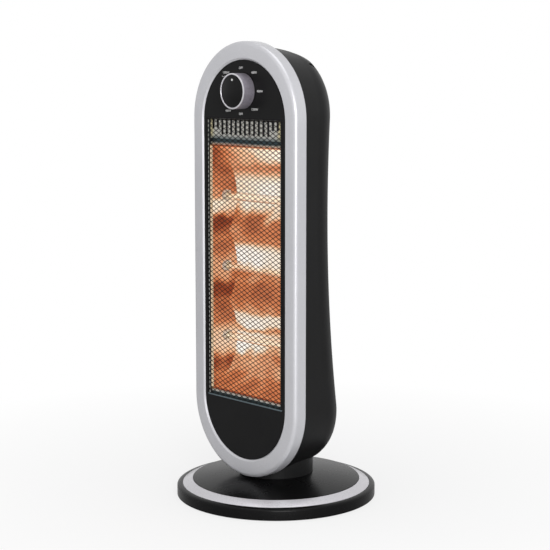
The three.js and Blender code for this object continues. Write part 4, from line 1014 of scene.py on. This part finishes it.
def rear_shell():
    """The thin shell with its carrying pocket, vents, screw posts and the throat for the neck."""
    far = shell_front + 2 * (WAIST_DEPTH + BOTTOM_SWELL)
    hollow = shell_form("inside", -SHELL_WALL, shell_front - 1, 8, 3)
    shell = combined(shell_form("shell", 0), [hollow], "DIFFERENCE")
    grip_middle = head_top - GRIP_DROP
    grip_floor = shell_front + shell_depth(grip_middle) - GRIP_DEPTH
    cup = lying_slot("cup", GRIP_WIDTH / 2 + SHELL_WALL, GRIP_HEIGHT / 2 + SHELL_WALL,
                     grip_floor - SHELL_WALL, far, grip_middle)
    posts = [rod("post", POST_RADIUS, shell_front, far, x, z) for x, z in screw_places()]
    solid_parts = [combined(part, [shell_form("limit", -SHELL_WALL / 4)], "INTERSECT")
                   for part in [cup, *posts]]
    shell = combined(shell, solid_parts, "UNION")
    cutters = [lying_slot("pocket", GRIP_WIDTH / 2, GRIP_HEIGHT / 2, grip_floor, far, grip_middle)]
    for side in (1, -1):
        for i in range(VENTS):
            height = head_middle + side * VENT_OFFSET + (i - (VENTS - 1) / 2) * VENT_PITCH
            cutters.append(lying_slot("vent", VENT_WIDTH / 2, VENT_HEIGHT / 2, VENT_START, far, height))
    for x, z in screw_places():
        cutters.append(rod("well", SCREW_WELL, shell_front + SCREW_SEAT, far, x, z))
        cutters.append(rod("bore", SCREW_BORE, shell_front - 1, far, x, z))
    low, high = head_bottom - 1, head_bottom + THROAT_HEIGHT
    throat = turned("throat", [(0, low), (THROAT_RADIUS, low), (THROAT_RADIUS, high), (0, high)], 64)
    shell = combined(shell, cutters + [throat], "DIFFERENCE")
    return finished(shell, "moulded_black", "head", ("rear_shell",), crease=32.0)


# ------------------------------------------------------------ switch and knob


def knob_cap():
    """A turned cup with its bright rim, its sunk face and the pointer dot."""
    radius = KNOB_RADIUS
    lip = KNOB_RADIUS - KNOB_RIM
    inner = KNOB_RADIUS - KNOB_WALL
    top = KNOB_HEIGHT
    web = KNOB_HEIGHT - KNOB_FACE_DEPTH
    under = web - KNOB_WALL
    place = (0, fascia_front, knob_middle)
    cap = turned("knob_cap", [
        (0, under), (KNOB_BORE, under), (KNOB_BORE, KNOB_HUB_LIFT), (KNOB_HUB, KNOB_HUB_LIFT),
        (KNOB_HUB, under), (inner, under), (inner, KNOB_LIFT), (radius - 0.3, KNOB_LIFT),
        (radius, KNOB_LIFT + 0.3), (radius, top - 0.7), (radius - 0.15, top - 0.3), (radius - 0.5, top),
        (lip + 0.3, top), (lip, top - 0.3), (lip, web), (0, web)], 144, "Y", place)
    finished(cap, "knurled_trim", "knob", ("knob",))
    rim = turned("knob_rim", [
        (lip + 0.2, top - 0.1), (lip + 0.4, top + 0.12), (radius - 0.6, top + 0.12),
        (radius - 0.1, top - 0.25), (radius - 0.05, top - 0.8), (radius + 0.05, top - 0.8),
        (radius + 0.02, top - 0.15), (radius - 0.55, top + 0.22), (lip + 0.3, top + 0.22),
        (lip + 0.1, top - 0.1), (lip + 0.2, top - 0.1)], 144, "Y", place)
    finished(rim, "satin_trim", "knob")
    low = web + SEAT_GAP
    high = low + KNOB_FACE
    edge = lip - SEAT_GAP
    face = turned("face_disc", [(0, low), (edge, low), (edge, high - 0.3), (edge - 0.5, high),
                                (0, high - 0.25)], 96, "Y", place)
    finished(face, "fascia_black", "knob", ("knob_face",))
    dot = turned("pointer_dot", [
        (0, high - 0.3), (DOT_RADIUS, high - 0.3), (DOT_RADIUS, high + 0.02),
        (DOT_RADIUS - 0.3, high + 0.12), (0, high + 0.15)], 32, "Y",
        (0, fascia_front, knob_middle + DOT_REACH))
    finished(dot, "legend_white", "knob")


LEGEND = [("OFF", -4.4, 28.4), ("400W", 20.2, 22.8), ("800W", 31.0, 0.0), ("1200W", 21.2, -22.6),
          ("OFF", -4.4, -28.7), ("400W", -28.6, -25.4), ("800W", -35.5, 0.0), ("1200W", -32.4, 22.4)]
LETTER = 4.125
PRINT_LIFT = 0.03
MARK_LIFT = 0.05
MARK_WIDTH = 0.5
MARK_START = (-7.8, -4.3)
MARK_CENTRE = (-5.2, -1.1)
MARK_SWEEP = math.radians(78)


def dial_legend():
    """The printed positions around the knob, with a curved swing mark beside the last two."""
    bm = bmesh.new()
    for text, x, z in LEGEND:
        curve = bpy.data.curves.new("label", "FONT")
        curve.body = text
        curve.size = LETTER
        curve.align_x = "CENTER"
        curve.align_y = "CENTER"
        curve.extrude = 0.04
        curve.offset = 0.02
        curve.resolution_u = 3
        label = linked("label", curve)
        mesh = final_mesh(label)
        bpy.data.objects.remove(label)
        mesh.transform(Matrix.Translation((x, fascia_front - PRINT_LIFT, knob_middle + z)) @ UPRIGHT)
        bm.from_mesh(mesh)
    for _, x, z in LEGEND[-2:]:
        left = x + MARK_START[0]
        start = Matrix.Translation((left, fascia_front - MARK_LIFT, knob_middle + z + MARK_START[1]))
        verts = bmesh.ops.create_grid(bm, x_segments=1, y_segments=1, size=MARK_WIDTH / 2,
                                      matrix=start @ UPRIGHT)["verts"]
        edges = list({e for v in verts for e in v.link_edges
                      if abs(e.verts[0].co.x - e.verts[1].co.x) < 0.01 and e.verts[0].co.x > left})
        centre = (x + MARK_CENTRE[0], fascia_front, knob_middle + z + MARK_CENTRE[1])
        bmesh.ops.spin(bm, geom=edges + [v for e in edges for v in e.verts], cent=centre,
                       axis=(0, -1, 0), angle=MARK_SWEEP, steps=8)
    return finished(loose(bm, "dial_legend"), "legend_white", "head")


# ------------------------------------------------------------ base


def dome_line():
    """The dome's soft line from the trim ring up to the neck."""
    bend = Vector(((trim_inner + NECK_RADIUS) / 2, (trim_top + dome_top) / 2 + 2 * DOME_CROWN))
    start = Vector((trim_inner, trim_top))
    end = Vector((NECK_RADIUS, dome_top))
    shares = [i / 12 for i in range(13)]
    return [tuple(start.lerp(bend, share).lerp(bend.lerp(end, share), share)) for share in shares]


def base_cover():
    """The round cover: skirt, rounded shoulder, sunk groove for the trim and low dome."""
    groove = TRIM_THICKNESS + SEAT_GAP
    under = BASE_WALL + groove
    inside = BASE_RADIUS - BASE_WALL
    foot = BASE_RADIUS - SKIRT_ROUND
    angles = [i / 8 * math.pi / 2 for i in range(9)]
    shoulder = [(trim_outer + SHOULDER_WIDTH * math.cos(angle), BASE_SIDE + SHOULDER_RISE * math.sin(angle))
                for angle in angles]
    outer = [(foot, SKIRT_LIFT), (BASE_RADIUS, SKIRT_LIFT + SKIRT_ROUND), *shoulder,
             (trim_outer, shoulder_top - groove), (trim_inner, trim_top - groove), *dome_line(),
             (0, dome_top)]
    inner = [(0, dome_top - DOME_WALL), (DOME_FLAT, dome_top - DOME_WALL), (trim_inner, trim_top - under),
             (trim_outer, shoulder_top - under), (inside, BASE_SIDE), (inside, SKIRT_LIFT),
             (foot, SKIRT_LIFT)]
    cover = turned("cover", outer + inner, 160)
    inlet = rod("inlet_hole", INLET_RADIUS, BASE_RADIUS - 8, BASE_RADIUS + 1, 0, INLET_HEIGHT)
    cover = combined(cover, [inlet], "DIFFERENCE")
    return finished(cover, "gloss_black", "base", ("base_cover",), crease=40.0)


def base_trim():
    """The sloping silver ring let into the cover, with its upper corners eased."""
    inner, outer = trim_inner + SEAT_GAP, trim_outer - SEAT_GAP
    section = [(inner, trim_top - TRIM_THICKNESS - 0.13), (outer, shoulder_top - 1.47),
               (outer, shoulder_top - 0.15), (trim_outer - 0.8, shoulder_top + 0.27),
               (trim_inner + 0.8, trim_top - 0.3), (inner, trim_top - 0.5)]
    trim = turned("trim", section + section[:1], 160)
    return finished(trim, "satin_trim", "base", ("base_trim_ring",))


front_bezel()
front_fascia()
guard_net()
reflector()
for lamp_height, lamp_name in zip(lamp_heights, LAMPS):
    lamp(lamp_height, lamp_name)
rear_shell()
knob_cap()
dial_legend()
base_cover()
base_trim()

dressed("neck_collar", "moulded_black", crease=30.0)
dressed("guard_frame", "rail_painted_light")
for side in ("left", "right"):
    dressed("reflector_end_" + side, "end_sheet", edge=0)
    for name in LAMPS:
        dressed(f"lamp_cap_{name}_{side}", "steatite", crease=40.0)
for number in range(1, 5):
    dressed(f"shell_screw_{number}", "bright_steel", crease=50.0, edge=0.1)
    dressed(f"base_screw_{number}", "bright_steel", crease=50.0, edge=0.1)
    dressed(f"rubber_foot_{number}", "black_rubber", crease=40.0)
dressed("cord_inlet", "black_rubber", crease=40.0)

# The rest keeps its CAD shape
KEPT = {
    "base_plate": "zinc_sheet", "ballast": "iron", "bearing_washer": "white_nylon",
    "swing_motor": "zinc_sheet", "terminal_block": "white_nylon", "tip_switch": "moulded_black",
    "tip_plunger": "white_nylon", "tip_spring": "bright_steel", "motor_shaft": "bright_steel",
    "swing_crank": "white_nylon", "drive_arm": "blue_steel", "retaining_ring": "blue_steel",
    "spindle": "blue_steel", "heat_shield": "blue_steel", "thermal_cutout": "steatite",
    "rotary_switch": "moulded_black", "switch_shaft": "bright_steel",
}
for name, finish in KEPT.items():
    frame["nodes"][name].material_slots[0].material = finishes[finish]

# ------------------------------------------------------------ floor, light and background

# Distances here are in metres
FLOOR_RADIUS = 6
SHADOW_START = 0.13
SHADOW_END = 0.7
LEAST_WHITE = 0.75
BACKDROP_LIGHT = 0.34
SOFTBOX_AIM = Vector((0, 0, 0.3))


def floor():
    """A pale floor that shows shadows near the object and turns white further away."""
    bm = bmesh.new()
    bmesh.ops.create_circle(bm, segments=64, radius=FLOOR_RADIUS, cap_ends=True)
    plane = linked("floor", meshed(bm, "floor"))
    made, tree, shader = material("pale_floor", Roughness=0.7)
    place = object_place(tree)
    pale = ramp(tree, noise(tree, place, 3.0, 3.0), [(0.3, (0.8, 0.8, 0.8)), (0.7, (0.82, 0.82, 0.82))])
    feed(shader, Base_Color=pale)
    seen = add(tree, "LightPath").outputs["Is Camera Ray"]
    white = add(tree, "Emission", {"Color": (1, 1, 1, 1), "Strength": 1.0}).outputs[0]
    away = add(tree, "VectorMath", {0: place}, operation="LENGTH").outputs["Value"]
    share = product(tree, seen, between(tree, away, SHADOW_START, SHADOW_END, LEAST_WHITE))
    mixed = add(tree, "MixShader", {0: share, 1: shader.outputs[0], 2: white}).outputs[0]
    tree.links.new(mixed, tree.nodes["Material Output"].inputs["Surface"])
    plane.data.materials.append(made)


def backdrop():
    """White to the camera and in reflections, much dimmer as a light."""
    world = bpy.data.worlds.new("studio")
    bpy.context.scene.world = world
    world.use_nodes = True
    tree = world.node_tree
    path = add(tree, "LightPath").outputs
    shown = maths(tree, "MAXIMUM", path["Is Camera Ray"], path["Is Glossy Ray"])
    shown = maths(tree, "MAXIMUM", shown, path["Is Transmission Ray"])
    sockets = tree.nodes["Background"].inputs
    tree.links.new(between(tree, shown, 0.0, 1.0, BACKDROP_LIGHT), sockets["Strength"])
    sockets["Color"].default_value = (1, 1, 1, 1)


def softbox(name, place, width, height, power):
    data = bpy.data.lights.new(name, "AREA")
    data.shape = "RECTANGLE"
    data.size = width
    data.size_y = height
    data.energy = power
    made = linked(name, data)
    made.location = place
    made.rotation_euler = (Vector(place) - SOFTBOX_AIM).to_track_quat("Z", "Y").to_euler()


floor()
backdrop()
softbox("right_softbox", (1.9, -1.35, 0.8), 0.9, 1.1, 46)
softbox("front_softbox", (-0.6, -2.4, 1.4), 1.4, 1.4, 2)
softbox("top_softbox", (0.2, -0.2, 2.4), 1.6, 1.6, 14)
